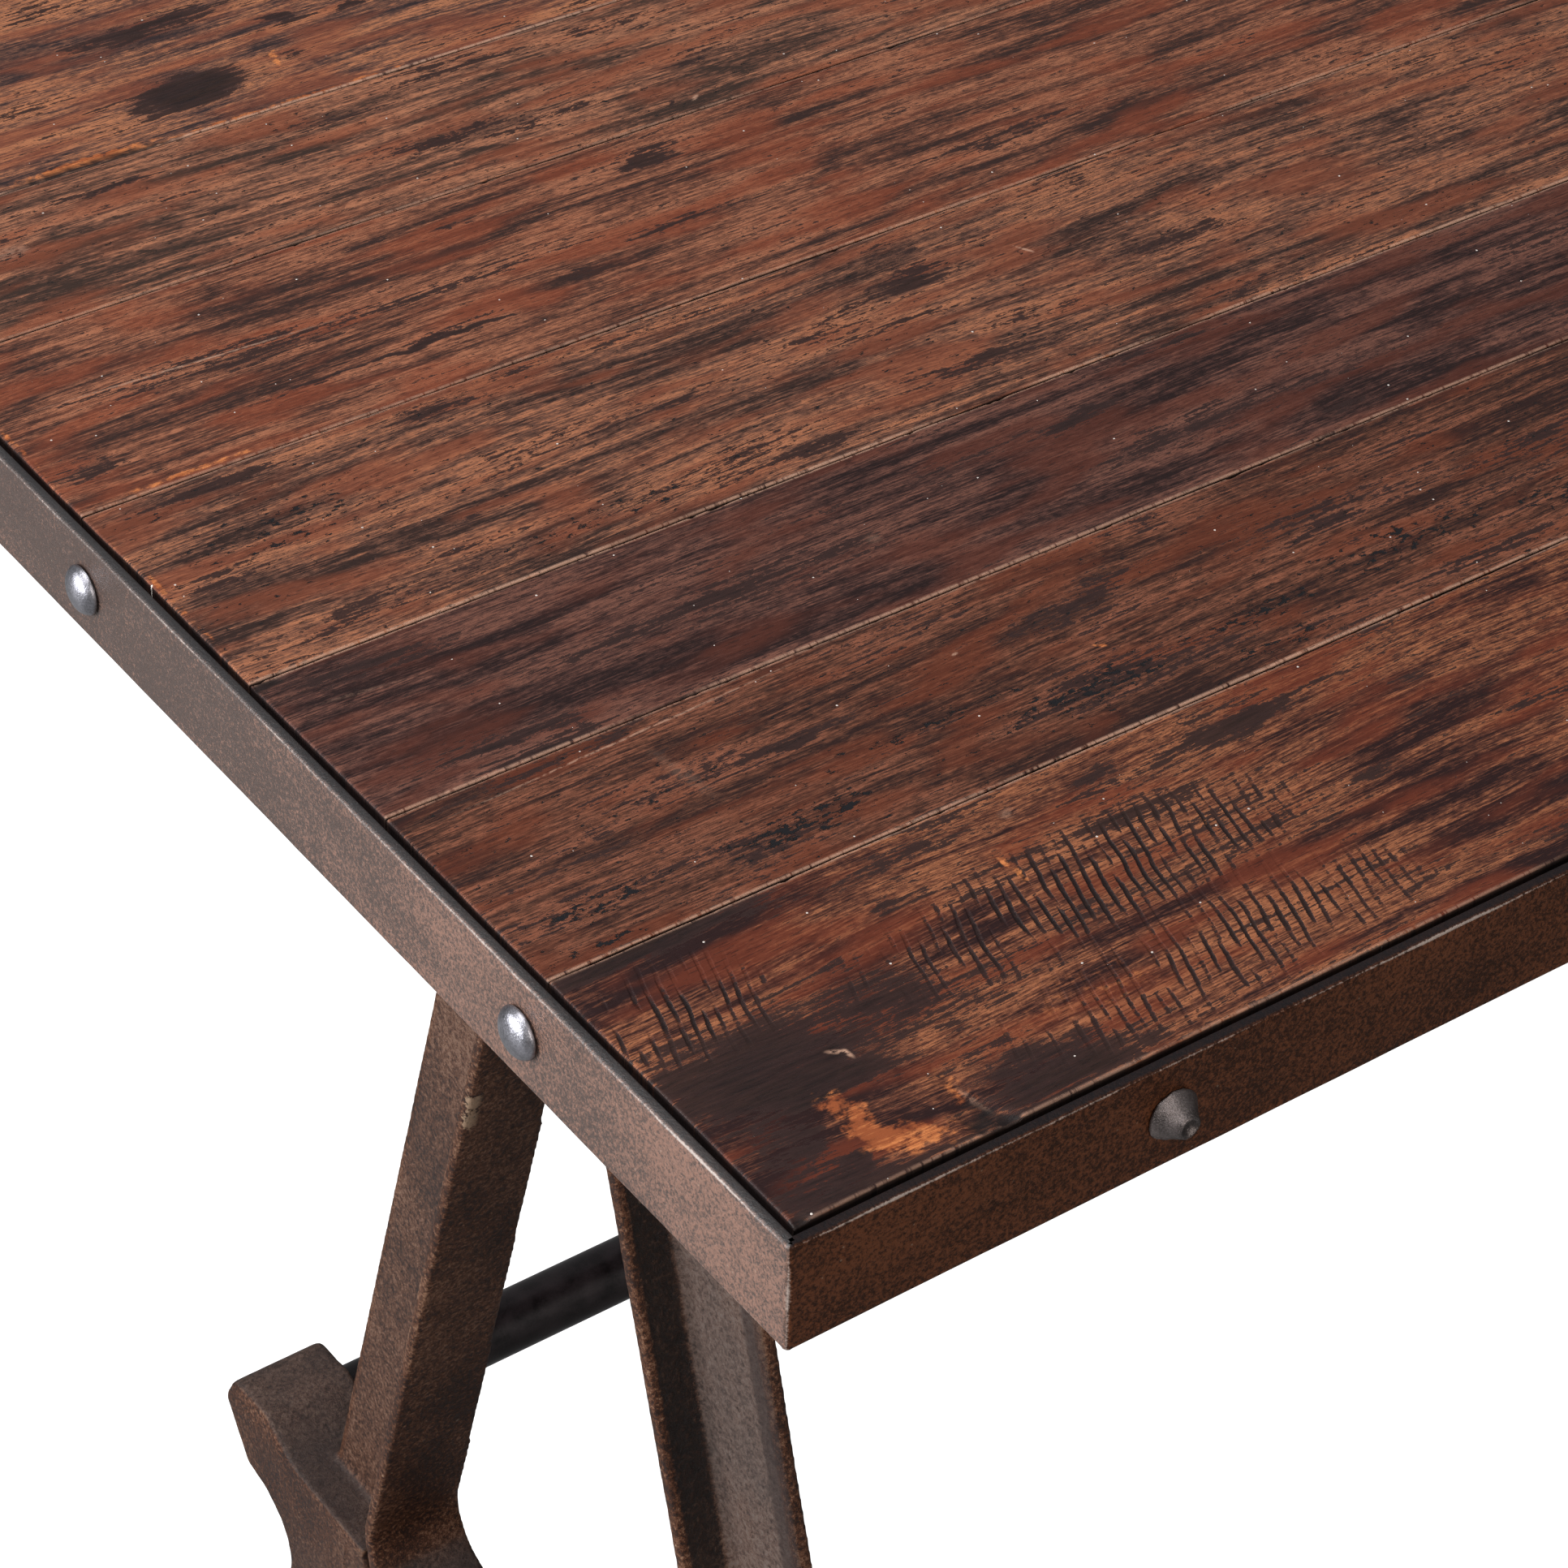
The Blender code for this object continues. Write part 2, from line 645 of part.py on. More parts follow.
def angle_mesh(name, half_run):
    """Angle iron along +X with mitred ends; its outer corner line is y = 0 at the bottom."""
    bm = bmesh.new()
    section = ((0.0, 0.0), (ANGLE_LEG, 0.0), (ANGLE_LEG, ANGLE_THICK),
               (ANGLE_THICK, ANGLE_THICK), (ANGLE_THICK, ANGLE_LEG), (0.0, ANGLE_LEG))
    ends = []
    for end in (-1.0, 1.0):
        ring = []
        for y, z in section:
            ring.append(bm.verts.new((end * (half_run - y - GAP / 2.0), y, z)))
        ends.append(ring)
    bm.faces.new(ends[0])
    bm.faces.new(list(reversed(ends[1])))
    count = len(section)
    for i in range(count):
        j = (i + 1) % count
        bm.faces.new((ends[0][i], ends[1][i], ends[1][j], ends[0][j]))
    return mesh_from(bm, name)


def build_band():
    sides = (
        ("band_front", HALF_LENGTH, (0.0, -HALF_WIDTH), 0.0),
        ("band_right", HALF_WIDTH, (HALF_LENGTH, 0.0), math.pi / 2.0),
        ("band_back", HALF_LENGTH, (0.0, HALF_WIDTH), math.pi),
        ("band_left", HALF_WIDTH, (-HALF_LENGTH, 0.0), -math.pi / 2.0),
    )
    for name, half_run, (x, y), turn in sides:
        place = Matrix.Translation((x, y, BAND_BOTTOM)) @ Matrix.Rotation(turn, 4, "Z")
        mesh = angle_mesh(name, half_run)
        mesh.transform(place)

        def on_this_side(rivet_x, rivet_y, cx=x, cy=y):
            if cx:
                return abs(rivet_x - cx) < GAP
            return abs(rivet_y - cy) < GAP

        holes = rivet_holes(on_this_side, -0.010, 0.010)
        add_object(name, combine(mesh, holes, "DIFFERENCE"), "band_steel")


# ---------------------------------------------------------------- boards
def board_mesh(index, low_y, high_y):
    """One board: a plank with eased top edges, drilled for rivets and screws."""
    reach = HALF_LENGTH - ANGLE_THICK - BOARD_EDGE_GAP
    ease = BOARD_ARRIS
    outline = ((low_y, BOARD_BOTTOM), (high_y, BOARD_BOTTOM), (high_y, HEIGHT - ease),
               (high_y - ease, HEIGHT), (low_y + ease, HEIGHT), (low_y, HEIGHT - ease))
    mesh = mesh_from(prism(outline, -reach, reach, along_x), f"board_{index}")

    def reaches_board(x, y):
        if abs(x) == HALF_LENGTH:
            return low_y < y < high_y
        return (y < 0.0 and index == 1) or (y > 0.0 and index == len(BOARD_SEAMS) + 1)

    depth = RIVET_SHANK_LENGTH + GAP
    holes = rivet_holes(reaches_board, -depth, 0.010)
    for places, top in ((frame_screw_places(), frame_screw_top()), (cleat_screw_places(), cleat_screw_top())):
        for _name, x, y in places:
            if low_y < y < high_y:
                hole = cylinder(SCREW_R + GAP, BOARD_BOTTOM - 0.01, top + GAP, SCREW_SIDES)
                holes.append(turned(hole, Matrix.Translation((x, y, 0.0))))
    if holes:
        mesh = combine(mesh, holes, "DIFFERENCE")
    return mesh


def frame_screw_top():
    return FRAME_TOP - ARM_PLATE_THICK - GAP + SCREW_LENGTH


def cleat_screw_top():
    return CLEAT_TOP - CLEAT_THICK - GAP + CLEAT_SCREW_LENGTH


def build_boards():
    edge = HALF_WIDTH - ANGLE_THICK - BOARD_EDGE_GAP
    seams = [seam - HALF_WIDTH for seam in BOARD_SEAMS]
    lows = [-edge] + [seam + SEAM_GAP / 2.0 for seam in seams]
    highs = [seam - SEAM_GAP / 2.0 for seam in seams] + [edge]
    for index, (low_y, high_y) in enumerate(zip(lows, highs), start=1):
        add_object(f"top_board_{index}", board_mesh(index, low_y, high_y), "board_wood")


def main():
    clear_scene()
    build_boards()
    build_band()
    build_rivets()
    build_cleat()
    build_end_frames()
    build_stretchers()
    build_screws()


main()
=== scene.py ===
import math

import bmesh
import bpy
import numpy as np
from mathutils import Matrix, Vector


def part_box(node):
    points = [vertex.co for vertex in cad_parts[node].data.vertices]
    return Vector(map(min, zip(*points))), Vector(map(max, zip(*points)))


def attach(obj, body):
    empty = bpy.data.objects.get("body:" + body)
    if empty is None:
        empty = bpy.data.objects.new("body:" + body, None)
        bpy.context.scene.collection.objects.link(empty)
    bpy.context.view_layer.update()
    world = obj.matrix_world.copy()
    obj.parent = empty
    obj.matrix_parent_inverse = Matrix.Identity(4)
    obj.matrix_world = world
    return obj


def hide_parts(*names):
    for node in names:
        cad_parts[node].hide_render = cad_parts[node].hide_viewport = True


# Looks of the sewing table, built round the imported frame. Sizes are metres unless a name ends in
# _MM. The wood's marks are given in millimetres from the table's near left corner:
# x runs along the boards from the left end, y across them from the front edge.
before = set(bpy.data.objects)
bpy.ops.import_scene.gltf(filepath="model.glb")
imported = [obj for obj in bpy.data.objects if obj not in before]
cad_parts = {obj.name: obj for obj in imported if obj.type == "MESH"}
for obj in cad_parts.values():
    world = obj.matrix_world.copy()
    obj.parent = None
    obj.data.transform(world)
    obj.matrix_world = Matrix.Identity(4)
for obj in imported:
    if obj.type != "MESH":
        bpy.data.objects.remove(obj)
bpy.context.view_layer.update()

MM = 0.001

# ---- places taken from the frame
BAND_LOW, BAND_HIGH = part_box("band_front")
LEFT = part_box("band_left")[0].x
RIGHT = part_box("band_right")[1].x
FRONT = BAND_LOW.y
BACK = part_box("band_back")[1].y
BAND_TOP = BAND_HIGH.z
BAND_BOTTOM = BAND_LOW.z
BOARD_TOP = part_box("top_board_1")[1].z
FRAME_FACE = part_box("end_frame_left")[0].x
BOARDS = 8
ANGLE_THICK = 0.003
SEAM_CLOSE = 0.00028            # boards have crept together by this much on each side of a seam
BARE_HEAD_GAP = 0.00005         # rivet heads stand this far off the band

# ---- camera
CAMERA_FROM_CORNER = Vector((-0.3841, -0.5114, 0.6241))
CAMERA_AZIMUTH = math.radians(36.56)
CAMERA_PITCH = math.radians(38.29)
CAMERA_ROLL = math.radians(1.75)
CAMERA_LENS = 101.1


def add_camera():
    data = bpy.data.cameras.new("camera")
    data.sensor_width = 36.0
    data.lens = CAMERA_LENS
    data.clip_start = 0.05
    data.clip_end = 50.0
    camera = add_object("camera", data)
    look = Vector((
        math.sin(CAMERA_AZIMUTH) * math.cos(CAMERA_PITCH),
        math.cos(CAMERA_AZIMUTH) * math.cos(CAMERA_PITCH),
        -math.sin(CAMERA_PITCH),
    ))
    aim = look.to_track_quat("-Z", "Y").to_matrix().to_4x4()
    place = Matrix.Translation(Vector((LEFT, FRONT, BOARD_TOP)) + CAMERA_FROM_CORNER)
    camera.matrix_world = place @ aim @ Matrix.Rotation(CAMERA_ROLL, 4, "Z")
    bpy.context.scene.camera = camera


# ---- noise for the meshes
def lattice(ix, iy, seed):
    """Repeatable pseudo-random numbers from 0 to 1 on whole-number points."""
    value = np.sin(ix * 127.1 + iy * 311.7 + seed * 74.7) * 43758.5453
    return value - np.floor(value)


def noise(x, y, seed):
    """Smooth value noise from 0 to 1, one feature per unit of x and y."""
    ix, iy = np.floor(x), np.floor(y)
    fx, fy = x - ix, y - iy
    fx = fx * fx * (3.0 - 2.0 * fx)
    fy = fy * fy * (3.0 - 2.0 * fy)
    low = lattice(ix, iy, seed) * (1.0 - fx) + lattice(ix + 1.0, iy, seed) * fx
    high = lattice(ix, iy + 1.0, seed) * (1.0 - fx) + lattice(ix + 1.0, iy + 1.0, seed) * fx
    return low * (1.0 - fy) + high * fy


def layered(x, y, seed, octaves=3):
    total = np.zeros_like(x)
    weight = 0.0
    for k in range(octaves):
        total += noise(x * 2.0 ** k, y * 2.0 ** k, seed + 17.0 * k) * 0.5 ** k
        weight += 0.5 ** k
    return total / weight


def step(value, low, high):
    t = np.clip((value - low) / (high - low), 0.0, 1.0)
    return t * t * (3.0 - 2.0 * t)


# ---- pieces
def add_object(name, data):
    item = bpy.data.objects.new(name, data)
    bpy.context.scene.collection.objects.link(item)
    return item


def set_attributes(mesh, attributes):
    """Store numbers for the shaders, one for each point of the mesh."""
    for name, values in attributes.items():
        layer = mesh.attributes.new(name, "FLOAT", "POINT")
        layer.data.foreach_set("value", np.asarray(values, np.float32).ravel())


def stand_in(name, mesh, nodes):
    """Ride a mesh on the table and let it stand for its CAD nodes."""
    piece = add_object(name, mesh)
    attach(piece, "root")
    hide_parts(*nodes)


def add_piece(name, points, faces, material, nodes, sharp=40.0, attributes=None):
    """Make one mesh piece, its faces listed inside out, in the place of its CAD nodes."""
    mesh = bpy.data.meshes.new(name)
    outside = [tuple(reversed(face)) for face in faces]
    mesh.from_pydata(np.asarray(points).tolist(), [], outside)
    mesh.validate()
    set_attributes(mesh, attributes or {})
    mesh.materials.append(material)
    mesh.shade_smooth()
    mesh.set_sharp_from_angle(angle=math.radians(sharp))
    stand_in(name, mesh, nodes)


def soften_edges(item, width, degrees):
    """Round the arrises of an object that turn by more than the angle given."""
    bevel = item.modifiers.new("soft_edges", "BEVEL")
    bevel.width = width
    bevel.segments = 2
    bevel.limit_method = "ANGLE"
    bevel.angle_limit = math.radians(degrees)


def grid_faces(rows, columns, wrap_columns=False):
    """Quads over points numbered row by row."""
    faces = []
    last = columns if wrap_columns else columns - 1
    for i in range(rows - 1):
        for j in range(last):
            k = (j + 1) % columns
            near, far = i * columns, (i + 1) * columns
            faces.append((near + j, far + j, far + k, near + k))
    return faces


# ---- shader graphs
class Graph:
    """Short calls for the nodes that the materials are made of."""

    def __init__(self, name):
        self.material = bpy.data.materials.new(name)
        self.material.use_nodes = True
        self.nodes = self.material.node_tree.nodes
        self.links = self.material.node_tree.links
        self.shader = self.nodes["Principled BSDF"]
        self.object = self.nodes.new("ShaderNodeTexCoord").outputs["Object"]

    def object_mm(self):
        return self.vector("MULTIPLY", self.object, (1.0 / MM, 1.0 / MM, 1.0 / MM))

    def put(self, socket, value):
        if isinstance(value, bpy.types.NodeSocket):
            self.links.new(value, socket)
        elif isinstance(value, tuple) and len(value) == 3 and socket.type == "RGBA":
            socket.default_value = (*value, 1.0)
        else:
            socket.default_value = value

    def math(self, operation, *values):
        node = self.nodes.new("ShaderNodeMath")
        node.operation = operation
        for socket, value in zip(node.inputs, values):
            self.put(socket, value)
        return node.outputs[0]

    def add(self, first, *others):
        for other in others:
            first = self.math("ADD", first, other)
        return first

    def times(self, a, b):
        return self.math("MULTIPLY", a, b)

    def muladd(self, a, b, c):
        """a times b, plus c."""
        return self.math("MULTIPLY_ADD", a, b, c)

    def around(self, value, spread, middle=0.0):
        """Noise stretched by spread about its own middle, and moved to another middle."""
        return self.muladd(value, spread, middle - 0.5 * spread)

    def scaled_noise(self, vector, fx, fy, fz, **options):
        """Solid noise with fx, fy and fz features a millimetre."""
        return self.noise(self.vector("MULTIPLY", vector, (fx, fy, fz)), flat=False, **options)

    def vector(self, operation, *values):
        node = self.nodes.new("ShaderNodeVectorMath")
        node.operation = operation
        for socket, value in zip(node.inputs, values):
            self.put(socket, value)
        return node.outputs["Value" if operation == "LENGTH" else "Vector"]

    def split(self, vector):
        node = self.nodes.new("ShaderNodeSeparateXYZ")
        self.put(node.inputs[0], vector)
        return node.outputs

    def join(self, x, y, z=0.0):
        node = self.nodes.new("ShaderNodeCombineXYZ")
        for socket, value in zip(node.inputs, (x, y, z)):
            self.put(socket, value)
        return node.outputs[0]

    def noise(self, vector, detail=2.0, roughness=0.5, flat=True, colour=False):
        node = self.nodes.new("ShaderNodeTexNoise")
        node.noise_dimensions = "2D" if flat else "3D"
        self.put(node.inputs["Vector"], vector)
        node.inputs["Scale"].default_value = 1.0
        node.inputs["Detail"].default_value = detail
        node.inputs["Roughness"].default_value = roughness
        node.inputs["Distortion"].default_value = 0.0
        return node.outputs["Color" if colour else "Fac"]

    def stretched(self, x, y, fx, fy, shift, **options):
        """Noise with fx features a millimetre along the grain and fy across it."""
        return self.noise(
            self.join(self.muladd(x, fx, shift), self.muladd(y, fy, shift)),
            **options,
        )

    def step(self, value, low, high):
        """0 below low, 1 above high; low may be the larger one."""
        node = self.nodes.new("ShaderNodeMapRange")
        node.interpolation_type = "SMOOTHSTEP"
        flipped = low > high
        for name, number in (
            ("From Min", high if flipped else low),
            ("From Max", low if flipped else high),
            ("To Min", 1.0 if flipped else 0.0),
            ("To Max", 0.0 if flipped else 1.0),
        ):
            node.inputs[name].default_value = number
        self.put(node.inputs["Value"], value)
        return node.outputs[0]

    def blob(self, vector, x, y, rx, ry, turn=0.0):
        """1 in the middle of an ellipse, fading to 0 at its rim; turn is in degrees."""
        node = self.nodes.new("ShaderNodeMapping")
        node.vector_type = "TEXTURE"
        self.put(node.inputs["Vector"], vector)
        node.inputs["Location"].default_value = (x, y, 0.0)
        node.inputs["Rotation"].default_value = (0.0, 0.0, math.radians(turn))
        node.inputs["Scale"].default_value = (rx, ry, 1.0)
        return self.step(self.vector("LENGTH", node.outputs[0]), 1.0, 0.2)

    def blobs(self, vector, start, shapes):
        """Sum of weighted ellipses: each is (x, y, rx, ry, weight, turn if any)."""
        total = start
        for x, y, rx, ry, weight, *turn in shapes:
            total = self.muladd(self.blob(vector, x, y, rx, ry, *turn), weight, total)
        return total

    def mix(self, factor, a, b):
        node = self.nodes.new("ShaderNodeMix")
        node.data_type = "RGBA"
        self.put(node.inputs[0], factor)
        self.put(node.inputs[6], a)
        self.put(node.inputs[7], b)
        return node.outputs[2]

    def ramp(self, factor, stops):
        node = self.nodes.new("ShaderNodeValToRGB")
        self.put(node.inputs[0], factor)
        elements = node.color_ramp.elements
        while len(elements) < len(stops):
            elements.new(0.5)
        for element, (position, colour) in zip(elements, stops):
            element.position = position
            element.color = (*colour, 1.0)
        return node.outputs[0]

    def attribute(self, name):
        node = self.nodes.new("ShaderNodeAttribute")
        node.attribute_name = name
        return node.outputs["Fac"]

    def cells(self, vector, scale):
        """Distance to the nearest of many scattered points, and that point's random number."""
        node = self.nodes.new("ShaderNodeTexVoronoi")
        self.put(node.inputs["Vector"], vector)
        node.inputs["Scale"].default_value = scale
        return node.outputs["Distance"], self.split(node.outputs["Color"])[0]

    def finish(self, colour, roughness, height, metallic=0.0, specular=0.5):
        """Set the shader; height is in metres."""
        self.put(self.shader.inputs["Base Color"], colour)
        self.put(self.shader.inputs["Roughness"], roughness)
        self.shader.inputs["Metallic"].default_value = metallic
        self.shader.inputs["Specular IOR Level"].default_value = specular
        bump = self.nodes.new("ShaderNodeBump")
        bump.inputs["Strength"].default_value = 1.0
        bump.inputs["Distance"].default_value = 1.0
        self.put(bump.inputs["Height"], height)
        self.links.new(bump.outputs[0], self.shader.inputs["Normal"])
        return self.material


# ---- wood of the top
STAIN = (0.008, 0.0055, 0.0060)
STAIN_LIGHT = (0.024, 0.012, 0.011)
PIT = (0.008, 0.0075, 0.009)
BARE = (0.48, 0.165, 0.055)
BARE_DARK = (0.22, 0.058, 0.020)
PALE = (0.40, 0.235, 0.165)
DUST = (0.62, 0.56, 0.52)
SEAM_SHADOW = (0.010, 0.007, 0.007)

# Each board: its dark, middle and light colours, how much black stain it has, how strongly it is
# figured, how worn its front and back arrises are, and its own marks: dark stains, saw cuts, pits,
# bare wood and pale scuffs. A mark is an ellipse (x, y, half length, half width, weight, and a
# turn in degrees if it has one), in millimetres. Arches are (y of their middle, bend, pitch).
BOARD_LOOKS = (
    {
        "colours": ((0.016, 0.006, 0.006), (0.08, 0.027, 0.016), (0.275, 0.1, 0.045)),
        "stain": 0.24, "figure": 0.22, "wear": (0.5, 0.75),
        "marks": (
            (30, 93, 50, 6, 0.42), (28, 42, 38, 28, 0.38), (18, 14, 32, 18, 0.4),
            (70, 88, 60, 5, 0.16), (76, 13, 32, 13, 0.3), (62, 55, 18, 20, 0.22),
            (35, 19, 9, 15, -0.42, 10), (120, 52, 70, 22, 0.08), (238, 62, 24, 6, 0.22),
            (232, 75, 17, 4, 0.18), (205, 52, 13, 4, 0.2), (215, 40, 15, 4, 0.18),
            (192, 83, 26, 6, 0.2), (236, 12, 34, 7, 0.2), (149, 87, 13, 4, 0.2),
            (81, 76, 9, 5, 0.18), (105, 28, 34, 14, -0.1), (160, 25, 34, 16, -0.06),
        ),
        "saw": ((22, 72, 26, 20, 0.42), (124, 57, 78, 22, 0.46), (134, 24, 74, 21, 0.32)),
        "bare": (
            (34, 23, 7, 16, 0.75, 8), (40, 13, 15, 7, 0.75, -20), (112, 71, 1.4, 9, 0.6, 4),
            (57, 18, 4.0, 15, 0.28), (7, 5.5, 3, 1.0, 0.5), (158, 60, 2, 2, 0.5),
            (100, 28, 40, 14, 0.14),
        ),
        "pale": (
            (43, 43, 1.0, 3.4, 0.8, 60), (45, 41, 0.9, 2.5, 0.7, 10), (123, 87, 3, 2.4, 0.3),
            (58, 14, 1.2, 9, 0.35, 6),
        ),
    },
    {
        "colours": ((0.019, 0.008, 0.007), (0.066, 0.025, 0.015), (0.191, 0.067, 0.037)),
        "stain": 0.16, "figure": 0.1, "wear": (0.9, 0.55),
        "marks": (
            (40, 160, 55, 3, 0.26, 2), (85, 149, 46, 4.5, 0.17), (178, 141, 28, 8, 0.24),
            (203, 147, 20, 5, 0.18), (106, 136, 38, 2.4, 0.16), (10, 142, 9, 5, 0.18),
            (45, 127, 50, 5, 0.18), (250, 140, 40, 8, 0.12), (155, 122, 55, 2, 0.12),
            (330, 130, 60, 16, 0.1), (60, 108, 60, 7, 0.08), (190, 110, 70, 9, 0.1),
        ),
        "pits": (
            (28, 112, 26, 5, 1.0), (82, 110, 32, 7, 1.1), (168, 113, 36, 7, 1.1),
            (220, 115, 30, 5, 1.0), (218, 102, 22, 4, 0.9), (20, 101, 18, 3, 0.9),
            (60, 136, 34, 3, 0.7), (130, 123, 40, 3, 0.8), (270, 118, 40, 10, 0.8),
            (330, 112, 40, 9, 0.7),
        ),
        "bare": ((181, 125.5, 3, 0.8, 0.8, -30),),
        "pale": (
            (150, 142, 1.4, 0.7, 0.9, 10), (70, 140, 3, 16, 0.1, 8),
            (68, 158.2, 66, 0.55, 0.55, 2.6),
        ),
    },
    {
        "colours": ((0.013, 0.006, 0.006), (0.049, 0.021, 0.017), (0.138, 0.056, 0.038)),
        "stain": 0.06, "figure": 0.1, "wear": (0.75, 0.8),
        "marks": (
            (30, 215, 38, 7, 0.26, -6), (38, 200, 36, 5, 0.18, -8), (198, 205, 84, 7, 0.12),
            (243, 205, 22, 6, 0.2), (274, 220, 30, 3, 0.2), (45, 176, 46, 8, 0.18),
            (302, 172, 17, 7, 0.3), (280, 185, 90, 5, 0.15), (120, 190, 80, 12, 0.1),
            (318, 208, 55, 12, -0.1), (400, 178, 60, 7, 0.18),
        ),
        "pale": ((162, 191, 3, 3, 0.14), (25, 207, 16, 1.0, 0.14, -8)),
    },
    {
        "colours": ((0.022, 0.011, 0.009), (0.101, 0.044, 0.029), (0.3, 0.115, 0.057)),
        "stain": 0.08, "figure": 0.2, "wear": (0.9, 0.6),
        "marks": (
            (32, 300, 36, 6, 0.26), (243, 295, 12, 11, 0.26), (240, 282, 28, 8, 0.26),
            (147, 268, 30, 4, 0.18), (22, 260, 22, 6, 0.22), (74, 253, 32, 6, 0.24),
            (75, 235, 84, 7, 0.17), (176, 232, 24, 5, 0.2), (242, 240, 44, 5, 0.2),
            (310, 261, 38, 6, 0.24, -4), (316, 230, 38, 5, 0.2), (100, 298, 20, 6, 0.18),
            (190, 262, 60, 5, 0.1, 3), (30, 280, 26, 10, 0.08),
        ),
        "pits": ((45, 275, 45, 18, 0.55), (120, 236, 60, 8, 0.5)),
        "bare": ((6, 265, 1.4, 40, 0.35),),
        "pale": ((277, 278, 0.8, 4.6, 0.75, 27),),
    },
    {
        "colours": ((0.025, 0.012, 0.01), (0.102, 0.038, 0.023), (0.272, 0.104, 0.055)),
        "stain": 0.06, "figure": 0.12, "wear": (0.55, 0.5),
        "marks": (
            (80, 346, 74, 4, 0.18), (100, 327, 72, 1.8, 0.32), (169, 333, 8, 5.5, 0.42),
            (133, 378, 16, 3, 0.26), (154, 374, 10, 2.6, 0.22), (219, 372, 14, 5, 0.3),
            (210, 341, 34, 4, 0.22), (387, 343, 30, 4, 0.2, 6), (17, 328, 17, 18, 0.16),
            (320, 330, 50, 4, 0.16), (30, 372, 30, 6, 0.1),
        ),
        "bare": ((36, 309, 30, 1.4, 0.7), (6, 350, 1.2, 36, 0.3)),
        "pale": ((62, 352, 56, 0.6, 0.6, -3.4),),
    },
    {
        "colours": ((0.029, 0.016, 0.012), (0.11, 0.047, 0.03), (0.304, 0.123, 0.065)),
        "stain": 0.02, "figure": 0.2, "wear": (0.45, 0.4),
        "arches": (401.5, 0.055, 44.0),
        "marks": (
            (86, 441, 22, 3.4, 0.22), (155, 441, 27, 4, 0.26, -5), (182, 414, 40, 7, 0.2, -4),
            (262, 413, 20, 4, 0.22), (242, 395, 2.4, 3.5, 0.4), (47, 424, 12, 7, 0.14),
            (200, 446, 40, 4, 0.12),
        ),
        "pits": ((48, 424, 9, 5, 0.7),),
        "pale": ((48, 426, 8, 4, 0.3), (249, 395, 3, 1.0, 0.6, 30)),
    },
    {
        "colours": ((0.021, 0.013, 0.014), (0.107, 0.047, 0.032), (0.341, 0.132, 0.062)),
        "stain": 0.03, "figure": 0.16, "wear": (1.0, 0.5),
        "marks": (
            (135, 516, 40, 7, 0.4), (132, 509, 30, 4, 0.3), (130, 477, 26, 15, 0.46),
            (174, 500, 10, 5, 0.38, -10), (195, 495, 10, 4, 0.28), (190, 484, 30, 18, -0.1),
            (165, 482, 10, 13, 0.12),
        ),
        "bare": (
            (88, 457.6, 30, 2.6, 1.2), (160, 479, 2.0, 12, 0.5, -24), (150, 456.0, 70, 1.2, 0.6),
            (6, 500, 1.2, 50, 0.3),
        ),
    },
    {
        "colours": ((0.023, 0.011, 0.01), (0.096, 0.039, 0.025), (0.292, 0.11, 0.055)),
        "stain": 0.01, "figure": 0.14, "wear": (0.5, 0.5),
        "marks": ((90, 575, 50, 6, 0.2), (300, 570, 40, 5, 0.2)),
    },
)
MARK_STRENGTH = 3.0
STAIN_LEVEL = 0.62
SAW_PITCH_MM = 3.3
SAW_SLANT = math.radians(17.0)
ARRIS_WEAR_MM = 1.3


